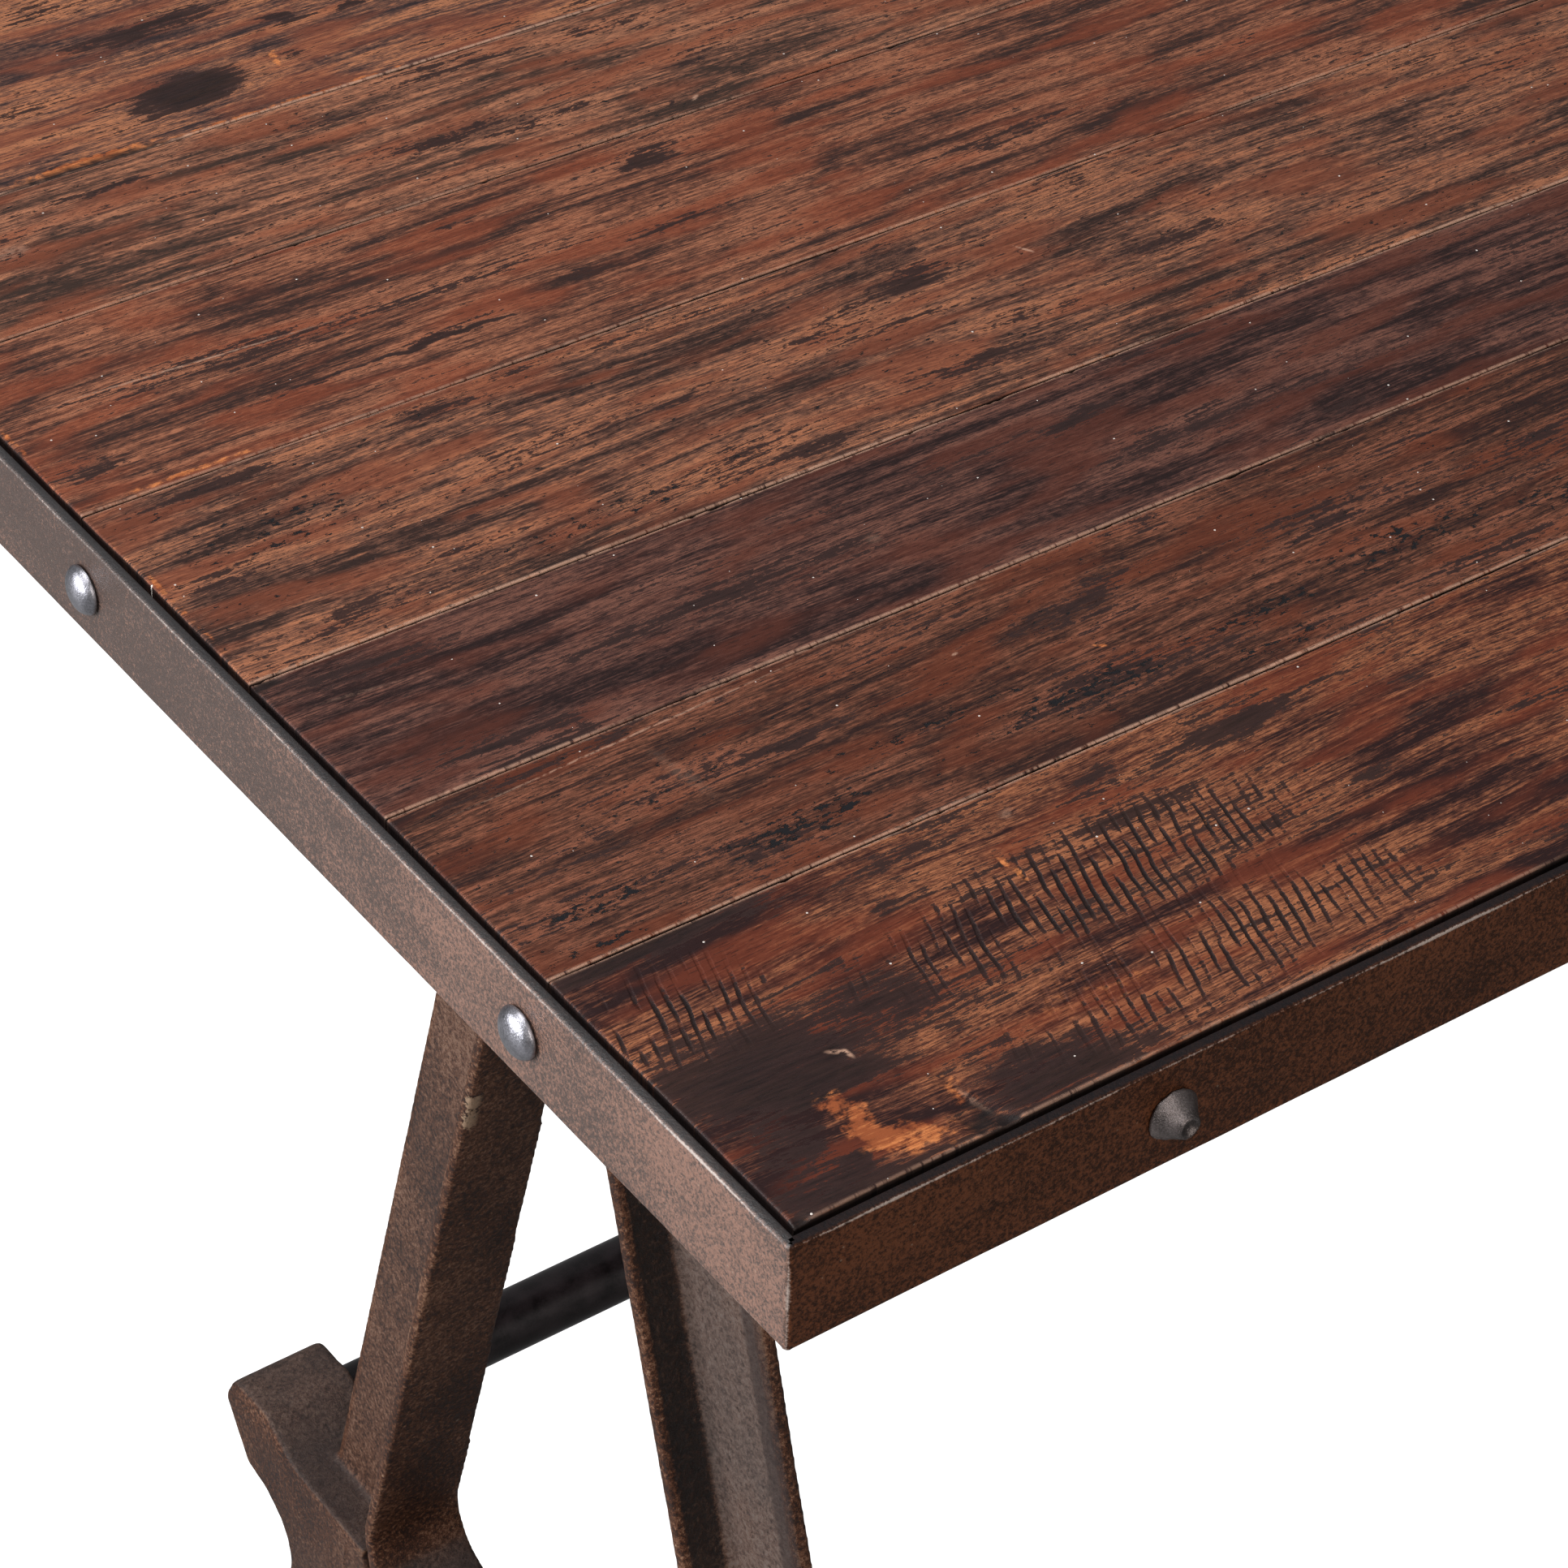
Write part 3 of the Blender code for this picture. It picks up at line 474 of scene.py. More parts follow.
def wood_material(index, look, low, high):
    """One board's wood: fibres, streaks, ragged black stain, pores, saw marks and worn arrises."""
    g = Graph(f"top_wood_{index}")
    shift = index * 37.3
    corner = g.vector("SUBTRACT", g.object, (LEFT, FRONT, 0.0))
    place = g.vector("MULTIPLY", corner, (1.0 / MM, 1.0 / MM, 0.0))
    x, y, _ = g.split(place)
    drift = g.stretched(x, y, 0.006, 0.022, shift, detail=1.0)
    sway = g.around(drift, 50.0 * look["figure"])
    gy = g.add(y, sway)

    fibre = g.stretched(x, gy, 0.12, 1.9, shift, detail=4.0, roughness=0.70)
    comb = g.stretched(x, gy, 0.072, 0.80, shift + 1.0, detail=4.0, roughness=0.66)
    streak = g.stretched(x, gy, 0.0095, 0.30, shift + 5.0, detail=4.0, roughness=0.62)
    patch = g.stretched(x, gy, 0.014, 0.060, shift + 9.0)
    mottle = g.stretched(x, y, 0.42, 0.75, shift + 3.0, detail=5.0, roughness=0.7)

    # marks are pulled about by the wood, so that none has a clean outline
    wander = g.vector("MULTIPLY", place, (0.09, 0.16, 0.0))
    wander = g.vector("SUBTRACT", g.noise(wander, colour=True), (0.5, 0.5, 0.5))
    wander = g.vector("MULTIPLY", wander, (16.0, 5.0, 0.0))
    ragged = g.vector("ADD", place, wander)
    gentle = g.vector("ADD", place, g.vector("MULTIPLY", wander, (0.10, 0.16, 0.0)))

    # growth rings, as fine bands across the board that follow the sway
    rings = g.math("SINE", g.muladd(streak, 9.0, g.times(gy, 0.95)))
    tone = g.add(
        g.around(streak, 2.2, 0.5),
        g.around(fibre, 2.3),
        g.around(comb, 0.8),
        g.around(patch, 1.9),
        g.times(rings, 0.16 * look["figure"]),
        g.around(mottle, 1.0),
    )
    if "arches" in look:
        middle, bend, pitch = look["arches"]
        away = g.math("SUBTRACT", y, middle)
        along = g.muladd(g.times(away, away), bend * 8.0, x)
        wobble = g.muladd(g.stretched(x, y, 0.02, 0.06, shift), 60.0, along)
        phase = g.math("FRACT", g.math("DIVIDE", wobble, pitch))
        inside = g.step(g.math("ABSOLUTE", away), 15.0, 8.0)
        tone = g.muladd(g.times(g.step(phase, 0.72, 0.97), inside), -0.30, tone)

    darkness = g.add(
        g.around(patch, 2.3, look["stain"]),
        g.around(streak, 1.9),
        g.around(comb, 2.2),
        g.around(fibre, 0.9),
        g.around(mottle, 1.3),
    )
    marks = [(*mark[:4], mark[4] * MARK_STRENGTH, *mark[5:]) for mark in look["marks"]]
    darkness = g.blobs(ragged, darkness, marks)
    grooves = 0.0
    if "saw" in look:
        across = g.muladd(y, -math.sin(SAW_SLANT), g.times(x, math.cos(SAW_SLANT)))
        uneven = g.muladd(g.stretched(x, y, 0.05, 0.035, shift + 2.0), 4.0, across)
        wave = g.math("SINE", g.times(uneven, 2.0 * math.pi / SAW_PITCH_MM))
        region = g.blobs(ragged, 0.0, look["saw"])
        broken = g.step(g.stretched(x, y, 0.20, 0.042, shift + 4.0, detail=1.0), 0.32, 0.60)
        uneven_edge = g.around(mottle, 0.8)
        grooves = g.times(g.times(g.step(g.add(wave, uneven_edge), 0.22, 1.0), region), broken)
        darkness = g.add(darkness, g.times(grooves, 4.2), g.times(region, -0.5))
    stain = g.step(darkness, STAIN_LEVEL, STAIN_LEVEL + 0.15)
    thick = g.muladd(mottle, -0.9, darkness)
    thick = g.step(thick, STAIN_LEVEL - 0.30, STAIN_LEVEL + 0.75)

    pits = 0.0
    if "pits" in look:
        region = g.blobs(ragged, 0.0, look["pits"])
        lumps = g.stretched(x, y, 0.22, 0.55, shift + 7.0, detail=4.0, roughness=0.7)
        pits = g.step(g.muladd(region, 0.15, lumps), 0.66, 0.72)
    pores = g.step(g.stretched(x, gy, 0.19, 2.3, shift + 11.0, detail=1.0), 0.64, 0.74)

    dark, middle, light = look["colours"]
    colour = g.ramp(tone, ((0.0, dark), (0.46, middle), (1.0, light)))
    hue = g.stretched(x, gy, 0.02, 0.09, shift + 13.0)
    warm = tuple(min(1.0, c * f) for c, f in zip(middle, (1.55, 0.95, 0.68)))
    colour = g.mix(g.times(g.step(hue, 0.46, 0.68), 0.62), colour, warm)
    colour = g.mix(g.times(pores, 0.55), colour, dark)
    colour = g.mix(g.times(stain, 0.96), colour, g.mix(thick, STAIN_LIGHT, STAIN))

    # bare wood where the finish has gone, then pale scuffs
    if "bare" in look:
        bare = g.blobs(gentle, 0.0, look["bare"])
        flames = g.noise(g.vector("MULTIPLY", place, (0.22, 0.22, 0.0)), detail=3.0)
        torn = g.add(
            bare, g.around(mottle, 1.9), g.around(comb, 0.9), g.around(flames, 2.0),
        )
        bare = g.times(g.step(torn, 0.20, 0.95), g.step(bare, 0.02, 0.30))
        colour = g.mix(bare, colour, g.ramp(tone, ((0.1, BARE_DARK), (0.9, BARE))))
    if "pale" in look:
        pale = g.blobs(gentle, 0.0, look["pale"])
        pale = g.times(pale, g.step(mottle, 0.34, 0.56))
        colour = g.mix(pale, colour, PALE)
    if "pits" in look:
        colour = g.mix(pits, colour, PIT)

    # worn arrises along the seams, broken into short dashes
    dashes = g.stretched(x, y, 0.55, 0.05, shift + 21.0, detail=3.0, roughness=0.7)
    longer = g.stretched(x, y, 0.02, 0.001, shift + 23.0, detail=1.0)
    front, back = look["wear"]
    near_front = g.step(g.math("SUBTRACT", y, low), ARRIS_WEAR_MM, 0.35)
    near_back = g.step(g.math("SUBTRACT", high, y), ARRIS_WEAR_MM, 0.35)
    worn = g.add(g.times(near_front, front), g.times(near_back, back))
    worn = g.times(g.times(worn, g.step(dashes, 0.27, 0.52)), g.step(longer, 0.18, 0.46))
    colour = g.mix(g.times(worn, 0.80), colour, PALE)
    end_edge = g.step(g.stretched(x, y, 0.4, 0.14, shift), 0.42, 0.58)
    end_edge = g.times(g.step(x, 4.5, 3.4), end_edge)
    colour = g.mix(g.times(end_edge, 0.75), colour, (0.33, 0.115, 0.055))

    depth = g.math("SUBTRACT", BOARD_TOP, g.split(g.object)[2])
    colour = g.mix(g.times(g.step(depth, 0.35 * MM, 0.9 * MM), 0.93), colour, SEAM_SHADOW)

    distance, chance = g.cells(place, 0.20)
    small = g.times(g.step(chance, 0.45, 1.0), 0.062)
    specks = g.step(g.math("SUBTRACT", distance, small), 0.006, -0.004)
    colour = g.mix(g.times(specks, 0.85), colour, DUST)

    height = g.add(
        g.times(fibre, 0.00007), g.times(streak, 0.00016), g.times(mottle, 0.00005),
        g.times(pores, -0.00008), g.times(stain, -0.00003), g.times(specks, 0.00012),
    )
    if "pits" in look:
        height = g.muladd(pits, -0.00035, height)
    if "saw" in look:
        height = g.muladd(grooves, -0.0010, height)
    roughness = g.add(
        g.muladd(fibre, 0.34, 0.24), g.times(mottle, 0.14), g.times(stain, -0.04),
    )
    return g.finish(colour, roughness, height, specular=0.17)


def fine_lines(low, high, rim, fine, fine_end, coarse):
    """Grid lines from low to high: close at both rims, fine up to fine_end, then coarse."""
    start, end = low + rim[-1], high - rim[-1]
    lines = list(low + np.array(rim[:-1]))
    if fine_end < end:
        fine_count = max(2, round((fine_end - start) / fine))
        coarse_count = max(2, round((end - fine_end) / coarse))
        lines += list(np.linspace(start, fine_end, fine_count, endpoint=False))
        lines += list(np.linspace(fine_end, end, coarse_count + 1))
    else:
        lines += list(np.linspace(start, end, max(2, round((end - start) / fine)) + 1))
    lines += list(high - np.array(rim[-2::-1]))
    return np.array(lines)


# chips and torn wood: (x, y, half length, half width, depth), millimetres
CHIPS = {
    1: ((56, 9, 5.0, 7.0, 0.9), (61, 5, 2.6, 2.2, 1.6), (57, 22, 2.0, 9.0, 0.35),
        (6, 5, 3.2, 1.6, 1.0), (43, 43, 2.4, 3.6, 0.25), (112, 71, 1.4, 7.5, 0.3),
        (123, 87, 3.0, 2.4, 0.35)),
    3: ((8, 222, 5.0, 2.2, 0.9),),
    6: ((48, 424, 8.0, 4.0, 0.4),),
    7: ((88, 455.5, 30.0, 2.4, 0.8),),
}


def build_board(index):
    """A board as a worn height field over its plan, closed by its sides and underside."""
    node = f"top_board_{index}"
    low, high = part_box(node)
    if index > 1:
        low.y -= SEAM_CLOSE
    if index < BOARDS:
        high.y += SEAM_CLOSE
    rim = np.array((0.0, 0.12, 0.3, 0.6, 1.0)) * MM
    xs = fine_lines(low.x, high.x, rim, 1.5 * MM, LEFT + 0.46, 6.0 * MM)
    ys = fine_lines(low.y, high.y, rim, 1.5 * MM, high.y, 1.5 * MM)
    x, y = np.meshgrid(xs, ys, indexing="ij")
    u, v = (x - LEFT) / MM, (y - FRONT) / MM
    seed = float(index)

    radius = (0.25 + 0.60 * layered(u * 0.11, v * 0.11, seed)) * MM
    near_x = np.minimum(x - low.x, high.x - x)
    near_y = np.minimum(y - low.y, high.y - y)
    a = np.clip(radius - near_x, 0.0, None)
    b = np.clip(radius - near_y, 0.0, None)
    drop = radius - np.sqrt(np.clip(radius ** 2 - a ** 2 - b ** 2, 0.0, None))
    near_edge = 1.0 - step(np.minimum(near_x, near_y), 0.2 * MM, 1.7 * MM)
    drop += near_edge * step(layered(u * 0.30, v * 0.30, seed + 3.0), 0.66, 0.85) * 0.45 * MM
    drop += layered(u * 0.010, v * 0.05, seed + 5.0) * 0.40 * MM
    drop += layered(u * 0.05, v * 0.35, seed + 7.0) * 0.10 * MM
    for cx, cy, rx, ry, depth in CHIPS.get(index, ()):
        ragged = layered(u * 0.5, v * 0.5, seed + 9.0) - 0.5
        reach = np.hypot((u - cx) / rx, (v - cy) / ry) + ragged * 0.9
        drop += (1.0 - step(reach, 0.75, 1.05)) * depth * MM * (0.6 + ragged)
    z = BOARD_TOP - np.clip(drop, 0.0, 3.0 * MM)

    # ends and edges are not quite straight
    inward_x = noise(v * 0.05, u * 0.0, seed + 11.0) * 0.35 * MM
    inward_y = noise(u * 0.035, v * 0.0, seed + 13.0) * 0.25 * MM
    reach_x = 1.0 - step(near_x, 0.0, 8.0 * MM)
    reach_y = 1.0 - step(near_y, 0.0, 8.0 * MM)
    middle_x, middle_y = (low.x + high.x) / 2.0, (low.y + high.y) / 2.0
    x = x + np.sign(middle_x - x) * inward_x * reach_x
    y = y + np.sign(middle_y - y) * inward_y * reach_y

    rows, columns = x.shape
    points = np.stack((x, y, z), axis=-1).reshape(-1, 3)
    faces = grid_faces(rows, columns)
    top = np.arange(rows * columns).reshape(rows, columns)
    loop = np.concatenate((top[0, :], top[1:, -1], top[-1, -2::-1], top[-2:0:-1, 0]))
    below = points[loop].copy()
    below[:, 2] = low.z
    first = len(points)
    points = np.concatenate((points, below))
    count = len(loop)
    for i in range(count):
        j = (i + 1) % count
        faces.append((int(loop[i]), int(loop[j]), first + j, first + i))
    faces.append(tuple(first + i for i in range(count - 1, -1, -1)))
    material = wood_material(
        index, BOARD_LOOKS[index - 1], (low.y - FRONT) / MM, (high.y - FRONT) / MM)
    add_piece(f"board_{index}", points, faces, material, [node])


# ---- steel band round the top
def band_material(name, coat, sheen, painted_far_shade=0.0):
    """Browned steel: smudged, speckled, bare on its worn arris, sooty on top, with painted shade on
    its back half if asked.
    """
    g = Graph(name)
    place = g.object_mm()
    smudge = g.scaled_noise(place, 0.02, 0.02, 0.05, detail=4.0)
    grain = g.scaled_noise(place, 1.15, 1.15, 1.15, detail=3.0, roughness=0.75)
    brushed = g.scaled_noise(place, 0.05, 0.05, 2.4, detail=3.0)
    distance, chance = g.cells(place, 0.22)
    specks = g.times(g.step(distance, 0.085, 0.04), g.step(chance, 0.55, 0.75))
    wear = g.attribute("wear")
    soot = g.attribute("soot")
    scuffed = g.add(wear, g.around(grain, 0.9), g.around(smudge, 1.8))
    scuffed = g.times(g.step(scuffed, 0.42, 0.80), g.step(wear, 0.05, 0.30))

    tone = g.add(g.muladd(smudge, 1.5, -0.25), g.around(grain, 4.0))
    # painted shade: the colour darkens from y = -190 mm towards the back of the band
    if painted_far_shade:
        tone = g.muladd(g.step(g.split(place)[1], -190.0, 0.0), -painted_far_shade, tone)
    dark = tuple(c * 0.40 for c in coat)
    light = tuple(c * 1.9 for c in coat)
    colour = g.ramp(tone, ((0.15, dark), (0.5, coat), (0.95, light)))
    colour = g.mix(g.times(specks, 0.40), colour, (0.26, 0.19, 0.14))
    colour = g.mix(g.times(soot, 0.93), colour, (0.008, 0.007, 0.008))
    colour = g.mix(g.times(scuffed, 0.70), colour, (0.34, 0.29, 0.26))
    roughness = g.add(
        g.muladd(smudge, 0.30, 0.32), g.muladd(brushed, 0.16, -0.05),
    )
    height = g.add(g.times(grain, 0.00022), g.times(brushed, 0.00003), g.times(smudge, 0.0006))
    return g.finish(colour, roughness, height, specular=sheen)


def arc(centre, radius, start, end, steps):
    """Points of an arc, angles in degrees."""
    points = []
    for k in range(steps + 1):
        angle = math.radians(start + (end - start) * k / steps)
        points.append((centre[0] + radius * math.cos(angle), centre[1] + radius * math.sin(angle)))
    return points


def band_profile():
    """Angle section as (inward, up) from its outer top edge, with each point's wear and soot."""
    tall = BAND_TOP - BAND_BOTTOM
    wide = BAND_HIGH.y - BAND_LOW.y
    thick = ANGLE_THICK
    big, small = 0.9 * MM, 0.45 * MM
    profile = []
    for k in range(13):
        profile.append((0.0, -tall + big + (tall - 2.0 * big) * k / 13.0, 0.0, 0.0))
    top_wear = (0.10, 0.50, 0.62, 0.30, 0.10, 0.0)
    top_soot = (0.0, 0.0, 0.1, 0.4, 0.8, 1.0)
    for (d, z), worn, sooty in zip(arc((big, -big), big, 180.0, 90.0, 5), top_wear, top_soot):
        profile.append((d, z, worn, sooty))
    for d, z in arc((thick - small, -small), small, 90.0, 0.0, 3):
        profile.append((d, z, 0.0, 1.0))
    profile.append((thick, -thick * 2.0, 0.0, 1.0))
    profile.append((thick, -tall + thick, 0.0, 0.6))
    profile.append((wide - small, -tall + thick, 0.0, 0.0))
    for d, z in arc((wide - small, -tall + small), small, 0.0, -90.0, 3):
        profile.append((d, z, 0.3, 0.0))
    for d, z in arc((big, -tall + big), big, 270.0, 180.0, 4)[:-1]:
        profile.append((d, z, 0.55, 0.0))
    return profile


def build_band(side, start, along, inward, length, material):
    """One mitred length of the band. Its ends share a rounded, worn corner with the next one."""
    corner = 1.6 * MM
    turn_steps = 5
    profile = band_profile()
    straight = np.linspace(corner, length - corner, int(length / (5.0 * MM)))
    stations = [("low", k) for k in range(turn_steps, 0, -1)]
    stations += [("run", a) for a in straight]
    stations += [("high", k) for k in range(1, turn_steps + 1)]
    points, wear, soot = [], [], []
    seed = start.x * 3.0 + start.y * 7.0
    for kind, value in stations:
        for d, z, worn, sooty in profile:
            bright = worn
            if kind == "run":
                a, inside = float(value), d
            else:
                angle = math.radians(45.0 * value / turn_steps)
                if d < corner:
                    a = corner - (corner - d) * math.sin(angle)
                    inside = corner - (corner - d) * math.cos(angle)
                else:
                    a = corner + (d - corner) * value / turn_steps
                    inside = d
                if d < 0.4 * MM:
                    bright = max(worn, 0.55 * value / turn_steps)
                if kind == "high":
                    a = length - a
            u = np.array(a / MM)
            dent = float(layered(u * 0.06, u * 0.0 + z * 40.0, seed)) * 0.22 * MM
            nick = float(step(layered(u * 0.24, u * 0.0 + 2.0, seed), 0.62, 0.85)) * 0.35 * MM
            push = dent if d < 1.0 * MM and kind == "run" else 0.0
            lower = nick if z > -1.0 * MM and d < 1.5 * MM else 0.0
            spot = start + along * a + inward * (inside + push)
            points.append((spot.x, spot.y, BAND_TOP + z - lower))
            wear.append(bright)
            soot.append(sooty)
    count = len(profile)
    faces = grid_faces(len(stations), count, wrap_columns=True)
    faces.append(tuple(range(count - 1, -1, -1)))
    faces.append(tuple(range((len(stations) - 1) * count, len(stations) * count)))
    add_piece(f"steel_{side}", points, faces, material, [f"band_{side}"],
              sharp=50.0, attributes={"wear": wear, "soot": soot})


def build_bands():
    # lit and shaded copies of one steel: the end bands get a lighter coat and the front and back
    # bands a darker one, so light and shade are painted into their colour
    lit_and_shaded_coats = {
        "end": band_material("band_steel", (0.090, 0.043, 0.028), 0.80, 0.45),
        "side": band_material("band_steel_shaded_side", (0.052, 0.0175, 0.0075), 0.10),
    }
    length, width = RIGHT - LEFT, BACK - FRONT
    for side, start, along, inward, run in (
        ("front", (LEFT, FRONT), (1, 0), (0, 1), length),
        ("right", (RIGHT, FRONT), (0, 1), (-1, 0), width),
        ("back", (RIGHT, BACK), (-1, 0), (0, -1), length),
        ("left", (LEFT, BACK), (0, -1), (1, 0), width),
    ):
        coat = lit_and_shaded_coats["side" if side in ("front", "back") else "end"]
        build_band(side, Vector(start), Vector(along), Vector(inward), run, coat)


# ---- rivets, rods, screws
def metal_material(name, colour, roughness, metallic, grain_mm, grain_depth, mottling):
    """Plain worked metal: mottled colour, uneven gloss and a fine grain."""
    g = Graph(name)
    place = g.object_mm()
    broad = g.scaled_noise(place, 0.12, 0.12, 0.12, detail=4.0)
    f = 1.0 / grain_mm
    grain = g.scaled_noise(place, f, f, f, detail=3.0, roughness=0.65)
    tone = g.add(g.muladd(broad, 1.4, -0.2), g.around(grain, 1.0))
    dark = tuple(c * (1.0 - mottling) for c in colour)
    light = tuple(c * (1.0 + mottling) for c in colour)
    tinted = g.ramp(tone, ((0.2, dark), (0.5, colour), (0.9, light)))
    gloss = g.add(g.around(broad, 0.25, roughness), g.times(grain, 0.08))
    height = g.add(g.times(grain, grain_depth), g.times(broad, grain_depth * 3.0))
    return g.finish(tinted, gloss, height, metallic=metallic)


def lathe_points(profile, sides, seed=0.0, rough=0.0):
    """Rings about +Z through (radius, height) points, closed by a point at each end."""
    points = []
    for radius, z in profile:
        for i in range(sides):
            angle = 2.0 * math.pi * i / sides
            lump = float(layered(np.array(radius / MM + 3.0 * math.cos(angle)),
                                 np.array(z / MM + 3.0 * math.sin(angle)), seed)) - 0.5
            r = radius * (1.0 + rough * lump)
            up = z + rough * lump * radius * 0.4
            points.append((r * math.cos(angle), r * math.sin(angle), up))
    faces = grid_faces(len(profile), sides, wrap_columns=True)
    faces.append(tuple(range(sides)))
    faces.append(tuple(range(len(profile) * sides - 1, (len(profile) - 1) * sides - 1, -1)))
    return points, faces


def place_points(points, origin, axis):
    turn = axis.to_track_quat("Z", "Y").to_matrix()
    return [tuple(origin + turn @ Vector(point)) for point in points]


# rivet heads, (radius, height) in millimetres from the band's face outwards
DOME_RIM_MM = ((6.0, 0.0), (6.1, 0.35), (6.6, 0.50), (6.6, 1.15), (6.4, 1.45))
DOME_RADIUS_MM = 6.4
DOME_BASE_MM = 1.05
DOME_RISE_MM = 3.1
DOME_STEPS = 10
CONE_MM = (
    (6.1, 0.0), (6.5, 0.15), (6.6, 0.6), (6.3, 1.0), (5.6, 1.9), (4.8, 3.0), (4.0, 4.2), (3.3, 5.3),
    (2.95, 5.9), (2.6, 6.15), (2.2, 6.05), (1.8, 5.5), (1.2, 5.1), (0.5, 5.0), (0.02, 5.0),
)
OUTWARD = {"left": (-1, 0, 0), "right": (1, 0, 0), "front": (0, -1, 0), "back": (0, 1, 0)}


def dome_profile():
    profile = list(DOME_RIM_MM)
    for k in range(1, DOME_STEPS + 1):
        turn = math.radians(10.0 + 80.0 * k / DOME_STEPS)
        radius = max(DOME_RADIUS_MM * math.cos(turn), 0.02)
        profile.append((radius, DOME_BASE_MM + DOME_RISE_MM * math.sin(turn)))
    return profile


def build_rivets():
    bright = metal_material("rivet_steel", (0.260, 0.255, 0.280), 0.33, 1.0, 0.5, 0.00008, 0.5)
    dull = metal_material("rivet_steel_side", (0.165, 0.140, 0.136), 0.36, 0.85, 0.4, 0.00016, 0.65)
    for node in sorted(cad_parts):
        if "_rivet_" not in node:
            continue
        side = node.split("_")[2]
        low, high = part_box(node)
        middle = (low + high) / 2.0
        outward = Vector(OUTWARD[side])
        origin = middle.copy()
        if side in ("left", "right"):
            origin.x = (LEFT if side == "left" else RIGHT) + outward.x * BARE_HEAD_GAP
            profile, material, rough = dome_profile(), bright, 0.03
        else:
            origin.y = (FRONT if side == "front" else BACK) + outward.y * BARE_HEAD_GAP
            profile, material, rough = CONE_MM, dull, 0.10
        profile = [(radius * MM, height * MM) for radius, height in profile]
        seed = middle.x * 9.0 + middle.y * 5.0
        points, faces = lathe_points(profile, 56, seed=seed, rough=rough)
        points = place_points(points, origin, outward)
        add_piece(f"head_{node}", points, faces, material, [node], sharp=60.0)


def build_rods():
    material = metal_material("rod_steel", (0.013, 0.009, 0.010), 0.30, 0.3, 0.8, 0.00004, 0.6)
    for node in ("stretcher_rod_front", "stretcher_rod_back"):
        low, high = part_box(node)
        middle = (low + high) / 2.0
        radius = (high.z - low.z) / 2.0
        length = high.x - low.x
        profile = [(0.02 * MM, 0.0), (radius - 0.8 * MM, 0.0), (radius, 0.8 * MM)]
        profile += [(radius, length * k / 24.0) for k in range(1, 24)]
        profile += [(radius, length - 0.8 * MM), (radius - 0.8 * MM, length), (0.02 * MM, length)]
        points, faces = lathe_points(profile, 64)
        start = Vector((low.x, middle.y, middle.z))
        points = place_points(points, start, Vector((1.0, 0.0, 0.0)))
        add_piece(f"round_{node}", points, faces, material, [node])


# ---- cast end frames
LEG_SLOPE = 0.285               # the legs' lean, and where their inner edges are at one depth
LEG_INNER_DY = 0.0385
LEG_DEPTH = 0.2755
LEG_WIDTH = 0.048
FOOT_OVERHANG = 0.006           # how far the feet stand out beyond the legs
LOWER_WEB_DEPTH = 0.0062        # the lower legs' channel is this deep
# bare chips on the far left leg, mm: (y, z, half width, half height)
RIDGE_CHIPS = ((41.8, 473.0, 3.4, 8.0), (44.3, 463.0, 2.8, 9.0))
CHIP_REACH = (FRAME_FACE / MM + 12.0, FRAME_FACE / MM + 9.0)


def cast_material():
    """Brown-black cast iron: gritty skin, coarser in the channels, with painted shade on their
    walls, rubbed bare along its edges.
    """
    g = Graph("frame_iron")
    place = g.object_mm()
    broad = g.scaled_noise(place, 0.025, 0.025, 0.018, detail=4.0, roughness=0.6)
    grit = g.scaled_noise(place, 0.62, 0.62, 0.62, detail=5.0, roughness=0.75)
    fine = g.scaled_noise(place, 2.6, 2.6, 2.6, roughness=0.6)
    wear = g.attribute("wear")
    coarse = g.attribute("coarse")
    patchy = g.add(g.around(broad, 1.6), g.around(grit, 1.0))
    rubbed = g.times(g.step(g.add(wear, patchy), 0.72, 1.25), g.step(wear, 0.05, 0.35))
    tone = g.add(g.muladd(broad, 1.8, -0.43), g.around(grit, 4.2),
                 g.around(fine, 1.8))
    colour = g.ramp(tone, (
        (0.10, (0.016, 0.0065, 0.0045)), (0.45, (0.060, 0.0210, 0.0090)),
        (0.75, (0.092, 0.035, 0.017)), (1.0, (0.170, 0.090, 0.056)),
    ))
    dust = g.times(g.attribute("dust"), g.muladd(grit, 2.6, -0.65))
    colour = g.mix(g.times(dust, 0.85), colour, (0.105, 0.084, 0.075))
    # painted shade: the channel walls are darkened nearly to black where the grit is low
    sooty = g.step(g.muladd(grit, -1.2, coarse), -0.55, 0.50)
    colour = g.mix(g.times(g.times(sooty, coarse), 0.85), colour, (0.012, 0.010, 0.010))
    colour = g.mix(g.times(rubbed, 0.50), colour, (0.240, 0.130, 0.075))
    distance, chance = g.cells(place, 0.10)
    chips = g.times(g.step(distance, 0.10, 0.05), g.step(chance, 0.80, 0.90))
    colour = g.mix(g.times(chips, 0.45), colour, (0.25, 0.19, 0.14))
    x, y, z = g.split(place)
    knocked = g.around(grit, 3.4)
    for spot in RIDGE_CHIPS:
        knocked = g.muladd(g.blob(g.join(y, z), *spot), 1.0, knocked)
    knocked = g.times(g.step(knocked, 0.45, 0.75), g.step(x, *CHIP_REACH))
    colour = g.mix(g.times(knocked, 0.75), colour, (0.30, 0.205, 0.135))
    depth = g.muladd(coarse, 0.0009, 0.00060)
    height = g.add(g.times(grit, depth), g.times(fine, 0.00005), g.times(broad, 0.0015))
    roughness = g.add(g.muladd(grit, 0.30, 0.36), g.times(rubbed, -0.08))
    shade = g.times(g.attribute("shade"), 0.75)
    colour = g.mix(shade, colour, (0.022, 0.014, 0.013))
    return g.finish(colour, roughness, height, specular=0.20)


